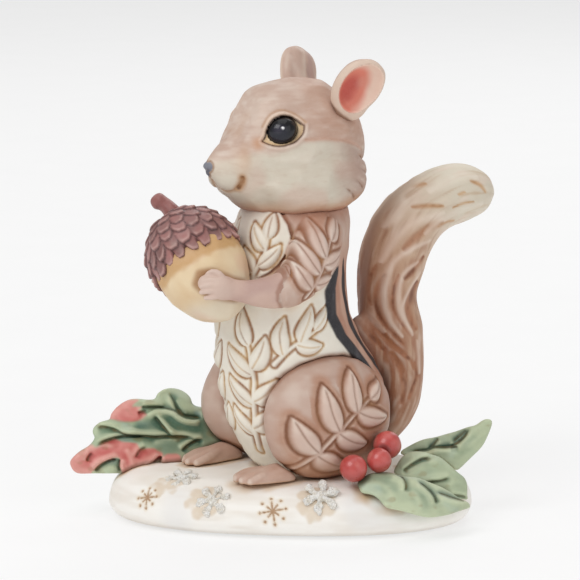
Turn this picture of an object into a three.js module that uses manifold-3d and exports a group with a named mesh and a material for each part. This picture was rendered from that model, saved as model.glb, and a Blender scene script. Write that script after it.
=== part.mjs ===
// A hand-painted cast-resin chipmunk that sits on a snow mound and holds an acorn, with an oak leaf on one side
// and a holly sprig on the other. Millimetres, +Z up. The origin is on the resting face, under the middle of the
// snow mound, whose long side lies along X. The chipmunk is turned about Z and looks towards -X and -Y.
// Each casting is a solid of its own, and a glue line of even width parts it from its neighbours.
import * as THREE from "three";
import { mergeVertices } from "three/addons/utils/BufferGeometryUtils.js";
import Module from "manifold-3d";

const wasm = await Module();
wasm.setup();

const glueLine = 0.3; // gap between two castings, filled by glue
const radians = THREE.MathUtils.degToRad;

// Snow mound and the felt under it
const mound = { length: 94, width: 58, height: 12.5, squareness: 2.3, foot: 0.5, sides: 40 };
const felt = { inset: 5, thickness: 1 };

// Chipmunk: x is forward, y is its left, z is up from the mound's top
const heading = 36; // degrees from -X towards -Y
const figurePlace = { x: -1.3, y: 0 };
const torso = { height: 69.5, sides: 22, steps: 14 };
const torsoProfile = [
  { rise: 0, x: -8.5, deep: 15.5, wide: 12.5 },
  { rise: 0.068, x: -8.2, deep: 18.8, wide: 14.8 },
  { rise: 0.168, x: -7.4, deep: 21.4, wide: 16.8 },
  { rise: 0.283, x: -5.7, deep: 22, wide: 17.4 },
  { rise: 0.427, x: -2.3, deep: 19.9, wide: 17 },
  { rise: 0.542, x: 0, deep: 17.4, wide: 16 },
  { rise: 0.701, x: -0.2, deep: 15.4, wide: 14.6 },
  { rise: 0.83, x: -2, deep: 14.6, wide: 13.8 },
  { rise: 0.931, x: -3.1, deep: 14.3, wide: 13.6 },
];
const neck = { x: -3.4, deep: 13.2, wide: 12.9 }; // the torso's top, inside the head
const neckPeg = { radius: 4.5, length: 9 };

// Head: a skin along its length, from the back of the skull to the nose, at heights over the neck
const headTurn = 0;
const headProfile = [
  { x: -17.5, z: 13, wide: 2, deep: 2 },
  { x: -16, z: 13, wide: 6.5, deep: 7.4 },
  { x: -12.4, z: 13.2, wide: 10.8, deep: 12.4 },
  { x: -6.6, z: 13.2, wide: 14, deep: 16.4 },
  { x: 0.4, z: 13, wide: 15, deep: 17.6 },
  { x: 7.4, z: 12.7, wide: 14.3, deep: 17.2 },
  { x: 12.2, z: 12.2, wide: 12.4, deep: 15.8 },
  { x: 16.4, z: 10.5, wide: 9.4, deep: 12.1 },
  { x: 19.3, z: 9.9, wide: 6.8, deep: 8.7 },
  { x: 21.9, z: 9.6, wide: 4.6, deep: 5.8 },
  { x: 24.3, z: 9.2, wide: 3.2, deep: 3.3 },
  { x: 25.9, z: 9.1, wide: 1.9, deep: 1.9 },
];
const cheek = { x: -0.2, y: 7.6, z: 5.5, long: 15.6, wide: 8.8, high: 9.8 };
const eye = { x: 9.7, z: 19, radius: 3.9, sunk: 2.2 };
const ear = { x: -6.2, y: 10.4, z: 22.6, length: 16.2, width: 11.6, thickness: 4.6, lean: 32, sweep: 19, facing: 68 };
const earPeg = { radius: 1.4, length: 4 };

// Tail: a skin along its curl, from inside the rump to the tip
const tailProfile = [
  { x: -20.7, z: 7.7, wide: 6, deep: 6 },
  { x: -27.9, z: 7.4, wide: 6.4, deep: 5.8 },
  { x: -32.3, z: 13.7, wide: 7.6, deep: 6.9 },
  { x: -33.1, z: 22, wide: 8, deep: 7.4 },
  { x: -32.1, z: 34, wide: 8.4, deep: 7.9 },
  { x: -31.3, z: 45.7, wide: 8.8, deep: 8.3 },
  { x: -33.8, z: 55.2, wide: 8.8, deep: 8.5 },
  { x: -39.8, z: 62.8, wide: 8.8, deep: 8.4 },
  { x: -48.1, z: 66.6, wide: 8.6, deep: 8.2 },
  { x: -54.3, z: 67, wide: 7.9, deep: 7.5 },
  { x: -59.5, z: 66.3, wide: 5.9, deep: 5.5 },
  { x: -62.5, z: 65.8, wide: 1.6, deep: 1.5 },
];
const tailPeg = { radius: 3, length: 8, z: 20 };

// Legs and arms: sizes of the left one, and the right one mirrors it. A drop is measured down from the neck.
const haunch = { x: -3.7, y: 15, z: 15, long: 18.5, wide: 10.4, high: 15.6, splay: 5 };

// Leaf sprigs in low relief, each leaf from its root to its tip. On a haunch these are shares of its half length
// and half height from its middle, and on the torso degrees round from the front and shares of its height.
const relief = { raised: 0.85, thick: 2.2, sides: 10, rows: 6 };
const haunchSprig = [
  { root: [-0.103, 0.167], tip: [-0.157, 0.833], width: 5.6 },
  { root: [0.189, -0.103], tip: [0.351, 0.654], width: 6 },
  { root: [0.459, -0.436], tip: [0.805, 0.167], width: 5.8 },
  { root: [0.481, -0.474], tip: [-0.049, -0.744], width: 5.4 },
  { root: [0.2, -0.128], tip: [-0.33, -0.372], width: 5.6 },
  { root: [-0.124, 0.179], tip: [-0.719, 0.013], width: 5.6 },
  { root: [-0.368, 0.346], tip: [-0.632, 0.603], width: 4.6 },
];
const torsoSprigs = [
  { root: [15.9, 0.151], tip: [3.5, 0.253], width: 4.2 },
  { root: [17.4, 0.173], tip: [36.3, 0.256], width: 4.6 },
  { root: [22.2, 0.266], tip: [5.4, 0.368], width: 4.6 },
  { root: [23.3, 0.281], tip: [44.1, 0.365], width: 4.8 },
  { root: [26.1, 0.381], tip: [6.5, 0.483], width: 4.8 },
  { root: [27, 0.403], tip: [42.6, 0.527], width: 4.6 },
  { root: [26.8, 0.489], tip: [18.8, 0.622], width: 4.6 },
  { root: [54.1, 0.458], tip: [59.7, 0.596], width: 4.6 },
  { root: [70.9, 0.504], tip: [85.3, 0.633], width: 4.4 },
  { root: [67.6, 0.498], tip: [91.6, 0.489], width: 4 },
  { root: [87.9, 0.544], tip: [103.8, 0.627], width: 3.8 },
];
const foot = { heelX: 5, heelY: 15.2, toeX: 22, toeY: 12.6, width: 8, ankle: 4.6, toe: 2.2 };
const armProfile = [
  { x: -4, y: 11.5, drop: 6, wide: 3.6, deep: 4.8 },
  { x: -1, y: 14.6, drop: 9.5, wide: 4.6, deep: 6.2 },
  { x: 2.6, y: 16.4, drop: 14.9, wide: 5, deep: 6.3 },
  { x: 8.5, y: 17, drop: 19.7, wide: 4.6, deep: 5 },
  { x: 15.5, y: 16.4, drop: 20.7, wide: 3.8, deep: 3.9 },
  { x: 22, y: 14.9, drop: 19.8, wide: 2.8, deep: 2.7 },
  { x: 26, y: 14, drop: 18.7, wide: 2.2, deep: 3 },
  { x: 29.4, y: 12.6, drop: 17.6, wide: 2, deep: 3 },
  { x: 31.6, y: 11, drop: 16.7, wide: 1, deep: 1.6 },
];

// Acorn: its own z runs from the nut's tip to the stem, from the middle of the cap's rim
const acornPlace = { x: 24.9, y: 0, drop: 15.1 };
const acornAxis = new THREE.Vector3(0.21, -0.62, 0.757);
const nut = { radius: 11.5, length: 16.3, seat: 3, sides: 22 };
const cap = { radius: 13, height: 15.8, sides: 22 };
const stem = { radius: 1.9, rise: 3.4, reach: 2.8, peg: 2, pegRadius: 1.1 };

// Leaves and berries. The berries nestle against the left haunch, and the leaves run from them over the mound's end
// at +X, where `fromEnd` in their midribs is measured inwards from that end.
const oakLeaf = { thickness: 3, rows: 26, columns: 6 };
const hollyLeaf = { thickness: 2.2, rows: 16, columns: 4 };
const berries = [
  { x: 24.7, y: -12.6, z: 9.9, radius: 3.6 },
  { x: 24.4, y: -18.7, z: 7.4, radius: 3.15 },
  { x: 18.2, y: -21.9, z: 3.9, radius: 3.5 },
];
const snowflakes = [
  { x: -19.5, fromSide: 3, z: 9.6, size: 8.6, turn: 10, tilt: 50 },
  { x: 9, fromSide: 2.6, z: 9.2, size: 9.4, turn: 25, tilt: 52 },
  { x: -29.5, fromSide: 11, z: 11, size: 8, turn: 0, tilt: 30 },
  { x: -20, fromSide: 4, z: 10, size: 9, turn: 40, tilt: -45 },
];
const flake = { thickness: 0.8, arms: 6, barWidth: 0.9, reach: 6 };

const paint = {
  snow: { color: 0xe9e2d6, roughness: 0.6 },
  felt: { color: 0x8f9a8c, roughness: 0.95 },
  fur: { color: 0xc9a794, roughness: 0.6 },
  belly: { color: 0xe8e0d0, roughness: 0.6 },
  eye: { color: 0x15151a, roughness: 0.15 },
  nut: { color: 0xe0cda6, roughness: 0.55 },
  cap: { color: 0x7b4b48, roughness: 0.6 },
  leaf: { color: 0x76967a, roughness: 0.6 },
  berry: { color: 0xc2484a, roughness: 0.35 },
  glitter: { color: 0xf4f1ea, roughness: 0.4 },
};

// A closed solid of a geometry, placed by a matrix.
function solidOf(geometry, matrix = new THREE.Matrix4()) {
  const bare = geometry.clone().applyMatrix4(matrix);
  bare.deleteAttribute("normal");
  bare.deleteAttribute("uv");
  const merged = mergeVertices(bare, 1e-4);
  const corners = merged.index.array;
  const kept = [];
  for (let i = 0; i < corners.length; i += 3) {
    const [a, b, c] = [corners[i], corners[i + 1], corners[i + 2]];
    if (a !== b && b !== c && c !== a) kept.push(a, b, c);
  }
  return new wasm.Manifold(
    new wasm.Mesh({
      numProp: 3,
      vertProperties: merged.attributes.position.array,
      triVerts: new Uint32Array(kept),
    }),
  );
}

// The geometry of a solid, moved into the frame of the group that holds it.
function geometryOf(solid, group) {
  const mesh = solid.getMesh();
  const points = [];
  for (let i = 0; i < mesh.numVert; i++)
    points.push(...[0, 1, 2].map((k) => mesh.vertProperties[i * mesh.numProp + k]));
  const geometry = new THREE.BufferGeometry();
  geometry.setAttribute("position", new THREE.Float32BufferAttribute(points, 3));
  geometry.setIndex([...mesh.triVerts]);
  geometry.applyMatrix4(group.matrixWorld.clone().invert());
  geometry.computeVertexNormals();
  return geometry;
}

// The largest closed body of a solid, for a cut that leaves a chip on the far side.
function largest(solid) {
  return solid.decompose().reduce((a, b) => (a.volume() > b.volume() ? a : b));
}

// A closed skin over rings of points, counterclockwise about the way they follow each other.
function skin(rings) {
  const count = rings[0].length;
  const middles = [rings[0], rings.at(-1)].map((ring) =>
    ring.reduce((sum, p) => sum.add(p), new THREE.Vector3()).divideScalar(count),
  );
  const points = [...rings.flat(), ...middles];
  const [first, last] = [points.length - 2, points.length - 1];
  const index = [];
  for (let i = 0; i < count; i++) {
    const j = (i + 1) % count;
    index.push(first, j, i);
    for (let r = 0; r < rings.length - 1; r++) {
      const [a, b] = [r * count + i, r * count + j];
      index.push(a, b, b + count, a, b + count, a + count);
    }
    const end = (rings.length - 1) * count;
    index.push(last, end + i, end + j);
  }
  const geometry = new THREE.BufferGeometry().setFromPoints(points);
  geometry.setIndex(index);
  return geometry;
}

// An oval skin along a smooth path: each station gives its place and its half sizes across the path.
// The wide half size lies along `side`, and `grow` makes the same form thicker all over, as a cutter.
// With `facing` all the rings face that way, and without it each ring is square to the path.
function loft(stations, { side, facing, sides = 20, steps = 24, grow = 0 }) {
  const path = new THREE.CatmullRomCurve3(stations.map((s) => new THREE.Vector3(s.x ?? 0, s.y ?? 0, s.z ?? 0)));
  const sizes = new THREE.CatmullRomCurve3(stations.map((s) => new THREE.Vector3(s.wide, s.deep, 0)));
  const rings = [];
  for (let k = 0; k <= steps; k++) {
    const middle = path.getPoint(k / steps);
    const size = sizes.getPoint(k / steps);
    const along = facing ?? path.getTangent(k / steps);
    const across = side.clone().addScaledVector(along, -side.dot(along)).normalize();
    const up = new THREE.Vector3().crossVectors(along, across);
    const end = k === 0 ? -grow : k === steps ? grow : 0;
    middle.addScaledVector(along, end);
    rings.push(
      Array.from({ length: sides }, (_, i) => {
        const angle = (2 * Math.PI * i) / sides;
        return middle
          .clone()
          .addScaledVector(across, (size.x + grow) * Math.cos(angle))
          .addScaledVector(up, (size.y + grow) * Math.sin(angle));
      }),
    );
  }
  return skin(rings);
}

function ellipsoid({ x, y, z, long, wide, high, turn = 0, grow = 0 }) {
  return new THREE.SphereGeometry(1, 20, 13)
    .rotateX(Math.PI / 2)
    .scale(long + grow, wide + grow, high + grow)
    .rotateZ(turn)
    .translate(x, y, z);
}

// A round peg, or its socket, between two points.
function peg(from, to, radius, sides = 20) {
  const along = new THREE.Vector3().subVectors(to, from);
  const turn = new THREE.Quaternion().setFromUnitVectors(new THREE.Vector3(0, 1, 0), along.clone().normalize());
  return new THREE.CylinderGeometry(radius, radius, along.length(), sides)
    .applyQuaternion(turn)
    .translate(...from.clone().add(to).multiplyScalar(0.5).toArray());
}

const mirrored = new THREE.Matrix4().makeScale(1, -1, 1);
const lateral = new THREE.Vector3(0, 1, 0);
const upright = new THREE.Vector3(0, 0, 1);
const forward = new THREE.Vector3(1, 0, 0);

// Groups: the mound's frame holds the chipmunk, which holds its head and its acorn
const figurine = new THREE.Group();
const chipmunk = new THREE.Group();
chipmunk.position.set(figurePlace.x, figurePlace.y, mound.height + glueLine);
chipmunk.rotation.z = radians(180 + heading);
const head = new THREE.Group();
head.position.set(neck.x, 0, torso.height);
head.rotation.z = radians(headTurn);
const acorn = new THREE.Group();
acorn.position.set(acornPlace.x, acornPlace.y, torso.height - acornPlace.drop);
acorn.quaternion.setFromUnitVectors(upright, acornAxis.clone().normalize());
figurine.add(chipmunk);
chipmunk.add(head, acorn);
figurine.updateMatrixWorld(true);

function add(group, name, solid, look) {
  const material = new THREE.MeshStandardMaterial({ ...look, metalness: 0 });
  const mesh = new THREE.Mesh(geometryOf(solid, group), material);
  mesh.name = name;
  group.add(mesh);
}

// Snow mound: an oval that tucks in at its foot, bulges and rounds over to a flat top
const moundLevels = [
  { rise: 0, inset: 2.6 },
  { rise: 0.08, inset: 1.2 },
  { rise: 0.26, inset: 0 },
  { rise: 0.46, inset: 0.3 },
  { rise: 0.66, inset: 1.5 },
  { rise: 0.82, inset: 3.4 },
  { rise: 0.93, inset: 6 },
  { rise: 1, inset: 10 },
];
function ovalPoint(angle, halfLength, halfWidth, z) {
  const power = 2 / mound.squareness;
  const bend = (v) => Math.sign(v) * Math.abs(v) ** power;
  return new THREE.Vector3(halfLength * bend(Math.cos(angle)), halfWidth * bend(Math.sin(angle)), z);
}
function ovalRing(inset, z) {
  return Array.from({ length: mound.sides }, (_, i) =>
    ovalPoint((2 * Math.PI * i) / mound.sides, mound.length / 2 - inset, mound.width / 2 - inset, z),
  );
}
function moundSkin(grow = 0) {
  const tall = mound.height - mound.foot;
  return skin(
    moundLevels.map(({ rise, inset }) =>
      ovalRing(inset - grow, mound.foot + rise * tall + (rise === 0 ? -grow : grow * rise)),
    ),
  );
}
const feltRecess = skin([ovalRing(felt.inset - glueLine, -1), ovalRing(felt.inset - glueLine, felt.thickness + glueLine)]);
const feltSheet = skin([ovalRing(felt.inset, 0), ovalRing(felt.inset, felt.thickness)]);
const moundClear = solidOf(moundSkin(glueLine));

// A leaf of a sprig: a lens sunk in the skin whose points `place` gives, with its back `relief.raised` above it.
function leafLens(place, outward, { root, tip, width }, grow) {
  const at = (share, a = 0, b = 0) =>
    place(THREE.MathUtils.lerp(root[0], tip[0], share) + a, THREE.MathUtils.lerp(root[1], tip[1], share) + b);
  const [middle, step] = [at(0.5), 0.01];
  const aside = at(0.5, step).sub(middle);
  const normal = aside.cross(at(0.5, 0, step).sub(middle)).normalize();
  normal.multiplyScalar(Math.sign(normal.dot(outward)));
  const across = normal.clone().cross(at(0.6).sub(at(0.4))).normalize();
  const along = across.clone().cross(normal);
  const frame = new THREE.Matrix4()
    .makeBasis(along, across, normal)
    .setPosition(middle.addScaledVector(normal, relief.raised - relief.thick));
  return new THREE.SphereGeometry(1, relief.sides, relief.rows)
    .rotateZ(Math.PI / 2)
    .scale(at(0).distanceTo(at(1)) * 0.54 + grow, width * 0.54 + grow, relief.thick + grow)
    .applyMatrix4(frame);
}

// Torso
const torsoStations = [...torsoProfile, { rise: 1, ...neck }].map((s) => ({ ...s, z: s.rise * torso.height }));
const torsoSkin = (grow) => loft(torsoStations, { side: lateral, facing: upright, sides: torso.sides, steps: torso.steps, grow });
const inChipmunk = (geometry) => solidOf(geometry, chipmunk.matrixWorld);
function torsoPoint(degrees, rise) {
  const at = torsoStations.findIndex((s) => s.rise >= rise);
  const [a, b] = [torsoStations[at - 1], torsoStations[at]];
  const mix = (key) => THREE.MathUtils.lerp(a[key], b[key], (rise - a.rise) / (b.rise - a.rise));
  const [cos, sin] = [Math.cos(radians(degrees)), Math.sin(radians(degrees))];
  const reach = 1 / Math.hypot(cos / mix("deep"), sin / mix("wide"));
  return new THREE.Vector3(mix("x") + reach * cos, reach * sin, rise * torso.height);
}
const torsoLens = (leaf) => leafLens(torsoPoint, new THREE.Vector3(1, 1, 0), leaf, 0);
const torsoClear = inChipmunk(torsoSkin(glueLine));

// Haunches and feet
const haunchOf = (grow) => ellipsoid({ ...haunch, turn: radians(haunch.splay), grow });
const bothSides = (geometry) => [inChipmunk(geometry), solidOf(geometry, chipmunk.matrixWorld.clone().multiply(mirrored))];
const fixMirror = (geometry) => {
  const turned = geometry.clone().applyMatrix4(mirrored);
  const index = turned.index.array;
  for (let i = 0; i < index.length; i += 3) [index[i + 1], index[i + 2]] = [index[i + 2], index[i + 1]];
  return turned;
};
const pair = (geometry) => [inChipmunk(geometry), inChipmunk(fixMirror(geometry))];
const joinPairs = (pairs) => pairs.reduce((a, b) => a.map((form, i) => form.add(b[i])));
function haunchPoint(ahead, up) {
  const out = Math.sqrt(Math.max(0, 1 - ahead ** 2 - up ** 2));
  return new THREE.Vector3(ahead * haunch.long, out * haunch.wide, up * haunch.high)
    .applyAxisAngle(upright, radians(haunch.splay))
    .add(new THREE.Vector3(haunch.x, haunch.y, haunch.z));
}
const haunchForm = (grow) => {
  const leaves = haunchSprig.map((leaf) => leafLens(haunchPoint, lateral, leaf, grow));
  return joinPairs([haunchOf(grow), ...leaves].map(pair));
};
const haunches = haunchForm(0);
const haunchesClear = haunchForm(glueLine);
const torsoForm = [inChipmunk(torsoSkin(0)), ...torsoSprigs.flatMap((leaf) => pair(torsoLens(leaf)))].reduce((a, b) =>
  a.add(b),
);
function footSkin(grow = 0) {
  const along = (share) => THREE.MathUtils.lerp(foot.heelX, foot.toeX, share);
  const aside = (share) => THREE.MathUtils.lerp(foot.heelY, foot.toeY, share);
  const half = foot.width / 2;
  const stations = [
    { share: 0, wide: half * 0.5, deep: foot.ankle * 0.5 },
    { share: 0.12, wide: half * 0.85, deep: foot.ankle },
    { share: 0.4, wide: half * 0.95, deep: foot.ankle * 0.85 },
    { share: 0.72, wide: half, deep: foot.toe * 1.25 },
    { share: 0.92, wide: half * 0.8, deep: foot.toe * 0.9 },
    { share: 1, wide: half * 0.4, deep: foot.toe * 0.4 },
  ].map(({ share, wide, deep }) => ({ x: along(share), y: aside(share), z: 0.3, wide, deep }));
  return loft(stations, { side: lateral, sides: 16, steps: 12, grow });
}
const ground = solidOf(new THREE.BoxGeometry(300, 300, 60).translate(0, 0, mound.height + glueLine - 30));
const feet = pair(footSkin());
const feetClear = pair(footSkin(glueLine));

// Acorn
const inAcorn = (geometry) => solidOf(geometry, acorn.matrixWorld);
function lathe(points, sides) {
  return new THREE.LatheGeometry(
    points.map(([radius, z]) => new THREE.Vector2(radius, z)),
    sides,
  ).rotateX(Math.PI / 2);
}
function nutSkin(grow = 0) {
  const r = nut.radius + grow;
  const low = nut.length + grow;
  return lathe(
    [
      [0, -low],
      [0.1 * r, -0.985 * low],
      [0.4 * r, -0.91 * low],
      [0.73 * r, -0.68 * low],
      [0.91 * r, -0.39 * low],
      [0.985 * r, -0.15 * low],
      [r, 0.5],
      [r - 0.3, nut.seat + grow],
      [0, nut.seat + grow],
    ],
    nut.sides,
  );
}
function capSkin(grow = 0) {
  const r = cap.radius + grow;
  const tall = cap.height + grow;
  return lathe(
    [
      [0, -0.6 - grow],
      [0.98 * r, -0.6 - grow],
      [r, 0.25 * tall],
      [0.93 * r, 0.5 * tall],
      [0.75 * r, 0.74 * tall],
      [0.47 * r, 0.92 * tall],
      [0.2 * r, 0.99 * tall],
      [0, tall],
    ],
    cap.sides,
  );
}
const acornClear = inAcorn(nutSkin(glueLine)).add(inAcorn(capSkin(glueLine)));
const stemFoot = new THREE.Vector3(0, 0, cap.height).applyMatrix4(acorn.matrix);
const stemAim = acornAxis.clone().normalize();
const stemBend = new THREE.Vector3(0.84, -0.48, 0.25).normalize();
const stemAt = (up, out) => stemFoot.clone().addScaledVector(stemAim, up).addScaledVector(stemBend, out);
const stemStations = [
  { at: stemAt(-1.2, 0), wide: stem.radius * 1.15 },
  { at: stemAt(stem.rise * 0.6, 0.3), wide: stem.radius },
  { at: stemAt(stem.rise, stem.reach * 0.4), wide: stem.radius * 0.9 },
  { at: stemAt(stem.rise * 1.1, stem.reach * 0.85), wide: stem.radius * 1.1 },
  { at: stemAt(stem.rise * 1.1, stem.reach), wide: stem.radius },
].map(({ at, wide }) => ({ x: at.x, y: at.y, z: at.z, wide, deep: wide }));
const stemSkin = loft(stemStations, { side: lateral, sides: 12, steps: 10 });
const stemPeg = peg(stemAt(-1 - stem.peg, 0), stemAt(1.2, 0), stem.pegRadius, 12);
const stemHole = peg(stemAt(-1 - stem.peg - glueLine, 0), stemAt(0, 0), stem.pegRadius + glueLine, 12);
const capBody = inAcorn(capSkin()).subtract(inAcorn(nutSkin(glueLine))).subtract(inChipmunk(stemHole));
const stemBody = inChipmunk(stemSkin).subtract(inAcorn(capSkin(glueLine))).add(inChipmunk(stemPeg));

// Arms, cut where they meet the torso and the acorn
const armStations = armProfile.map((s) => ({ ...s, z: torso.height - s.drop }));
const armSkin = (grow) => loft(armStations, { side: lateral, sides: 14, steps: 15, grow });
const arms = pair(armSkin(0)).map((arm) => largest(arm.subtract(torsoClear).subtract(acornClear)));

// Tail, with a peg in the rump
const tailSkin = (grow) => loft(tailProfile, { side: lateral, sides: 18, steps: 21, grow });
const tailSeatX = torsoStations[3].x - torsoStations[3].deep;
const tailPegAt = (x) => new THREE.Vector3(x, 0, tailPeg.z);
const tailJoint = peg(tailPegAt(tailSeatX - 6), tailPegAt(tailSeatX + tailPeg.length), tailPeg.radius);
const tailSocket = peg(tailPegAt(tailSeatX - 6), tailPegAt(tailSeatX + tailPeg.length + glueLine), tailPeg.radius + glueLine);
const tailBody = largest(inChipmunk(tailSkin(0)).subtract(torsoClear).subtract(ground)).add(inChipmunk(tailJoint));

// Head, with a peg in the torso, and seats for the ears and the eyes
const inHead = (geometry) => solidOf(geometry, head.matrixWorld);
const headSkin = (grow) => loft(headProfile, { side: lateral, facing: forward, sides: 22, steps: 19, grow });
const cheeks = (grow) => {
  const one = ellipsoid({ ...cheek, grow });
  return inHead(one).add(inHead(fixMirror(one)));
};
const headForm = (grow) => inHead(headSkin(grow)).add(cheeks(grow));
const neckPegAt = (z) => new THREE.Vector3(0, 0, z);
const neckJoint = peg(neckPegAt(-neckPeg.length), neckPegAt(4), neckPeg.radius);
const neckSocket = peg(neckPegAt(-neckPeg.length - glueLine), neckPegAt(4), neckPeg.radius + glueLine);

// The skull's half width at a place, so that the eyes and the ears sit on its skin
function skullHalfWidth(x, z) {
  const at = headProfile.findIndex((s) => s.x >= x);
  const [a, b] = [headProfile[at - 1], headProfile[at]];
  const share = (x - a.x) / (b.x - a.x);
  const mix = (key) => THREE.MathUtils.lerp(a[key], b[key], share);
  return mix("wide") * Math.sqrt(Math.max(0, 1 - ((z - mix("z")) / mix("deep")) ** 2));
}
const eyeY = skullHalfWidth(eye.x, eye.z) - eye.sunk;
const eyeBall = (grow) => new THREE.SphereGeometry(eye.radius + grow, 14, 10).translate(eye.x, eyeY, eye.z);

// Ear: a cupped blade along its own z, open towards its own x
const earFrame = new THREE.Matrix4()
  .makeTranslation(ear.x, ear.y, ear.z)
  .multiply(new THREE.Matrix4().makeRotationX(radians(-ear.lean)))
  .multiply(new THREE.Matrix4().makeRotationY(radians(-ear.sweep)))
  .multiply(new THREE.Matrix4().makeRotationZ(radians(ear.facing)));
const earStations = [
  { share: 0, wide: 0.44, deep: 0.8 },
  { share: 0.18, wide: 0.7, deep: 1 },
  { share: 0.45, wide: 0.97, deep: 1 },
  { share: 0.7, wide: 0.98, deep: 0.95 },
  { share: 0.88, wide: 0.72, deep: 0.75 },
  { share: 1, wide: 0.2, deep: 0.25 },
].map(({ share, wide, deep }) => ({
  z: share * ear.length,
  wide: (wide * ear.width) / 2,
  deep: (deep * ear.thickness) / 2,
}));
const earOuter = loft(earStations, { side: lateral, sides: 16, steps: 9 }).applyMatrix4(earFrame);
const earHollow = ellipsoid({
  x: ear.thickness * 0.72,
  y: 0,
  z: ear.length * 0.58,
  long: ear.thickness * 0.85,
  wide: ear.width * 0.39,
  high: ear.length * 0.34,
}).applyMatrix4(earFrame);
const earAlong = (z) => new THREE.Vector3(0, 0, z).applyMatrix4(earFrame);
const earJoint = peg(earAlong(-earPeg.length + 3), earAlong(5), earPeg.radius, 14);
const earSocket = peg(earAlong(-earPeg.length + 3 - glueLine), earAlong(5), earPeg.radius + glueLine, 14);

const headPair = (geometry) => [inHead(geometry), inHead(fixMirror(geometry))];
const headClear = headForm(glueLine);
const earJoints = headPair(earJoint);
const earHollows = headPair(earHollow);
const ears = headPair(earOuter).map((blade, i) => largest(blade.subtract(earHollows[i]).subtract(headClear)).add(earJoints[i]));
const eyes = headPair(eyeBall(0));
const headCuts = [torsoClear, ...headPair(eyeBall(glueLine)), ...headPair(earSocket)];
const headBody = headCuts.reduce((form, cut) => form.subtract(cut), headForm(0)).add(inHead(neckJoint));

const torsoCuts = [...haunchesClear, acornClear, inHead(neckSocket), inChipmunk(tailSocket), ...feetClear, ground];
const torsoBody = largest(torsoCuts.reduce((form, cut) => form.subtract(cut), torsoForm));

// A blade with a lobed edge: `across(share, side)` is its reach to either side of the midrib, and
// `lift(share, reach)` turns a distance from the midrib into a step across and up.
function blade({ midrib, across, step, thickness, rows, columns }) {
  const path = new THREE.CatmullRomCurve3(midrib.map((p) => new THREE.Vector3(...p)));
  const middleAt = (share, t) => {
    const reach = t * across(share, Math.sign(t));
    return path.getPoint(share).add(step(share, reach));
  };
  const rings = [];
  for (let r = 0; r <= rows; r++) {
    const share = r / rows;
    const ring = [];
    for (const face of [1, -1])
      for (let c = 0; c <= columns; c++) {
        const t = face * (1 - (2 * c) / columns);
        const here = middleAt(share, t);
        const alongStep = middleAt(Math.min(1, share + 0.02), t).sub(middleAt(Math.max(0, share - 0.02), t));
        const acrossStep = middleAt(share, Math.min(1, t + 0.05)).sub(middleAt(share, Math.max(-1, t - 0.05)));
        const normal = new THREE.Vector3().crossVectors(alongStep, acrossStep).normalize();
        const edge = Math.sqrt(Math.max(0.04, 1 - Math.abs(t) ** 6));
        ring.push(here.addScaledVector(normal, (face * thickness * edge) / 2));
      }
    rings.push(ring);
  }
  return skin(rings);
}
// A smooth curve through pairs of a share and a reach
function reachCurve(pairs) {
  return (share) => {
    const at = Math.max(1, pairs.findIndex(([s]) => s >= share));
    const [[s0, r0], [s1, r1]] = [pairs[at - 1], pairs[at]];
    return THREE.MathUtils.lerp(r0, r1, THREE.MathUtils.smoothstep(share, s0, s1));
  };
}

// Oak leaf, measured from the mound's end at -X: its far side stands up, and its near side comes down to the snow
const oakMidrib = [
  [30, 11, 4.8],
  [18.5, 7, 6.3],
  [7, 2.2, 7.2],
  [-1.5, -2, 5.1],
  [-8.5, -5.5, 1.7],
].map(([fromEnd, y, z]) => [fromEnd - mound.length / 2, y, mound.height + z]);
const oakFar = reachCurve([
  [0, 4],
  [0.08, 9],
  [0.2, 15.2],
  [0.33, 10],
  [0.5, 10.2],
  [0.62, 5.6],
  [0.73, 5.8],
  [0.84, 2.6],
  [0.92, 3.4],
  [1, 0.6],
]);
const oakNear = reachCurve([
  [0, 3],
  [0.14, 4.5],
  [0.26, 9.6],
  [0.38, 6.6],
  [0.54, 10],
  [0.68, 8.3],
  [0.78, 6.2],
  [0.9, 4.4],
  [1, 0.6],
]);
const oakBody = solidOf(
  blade({
    midrib: oakMidrib,
    across: (share, side) => (side < 0 ? oakFar(share) : oakNear(share)),
    step: (share, reach) =>
      reach < 0
        ? new THREE.Vector3(reach * 0.28, -reach * 0.62, -reach * 0.74)
        : new THREE.Vector3(-reach * 0.1, -reach * 0.55, -reach * 0.83),
    ...oakLeaf,
  }),
);

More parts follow.
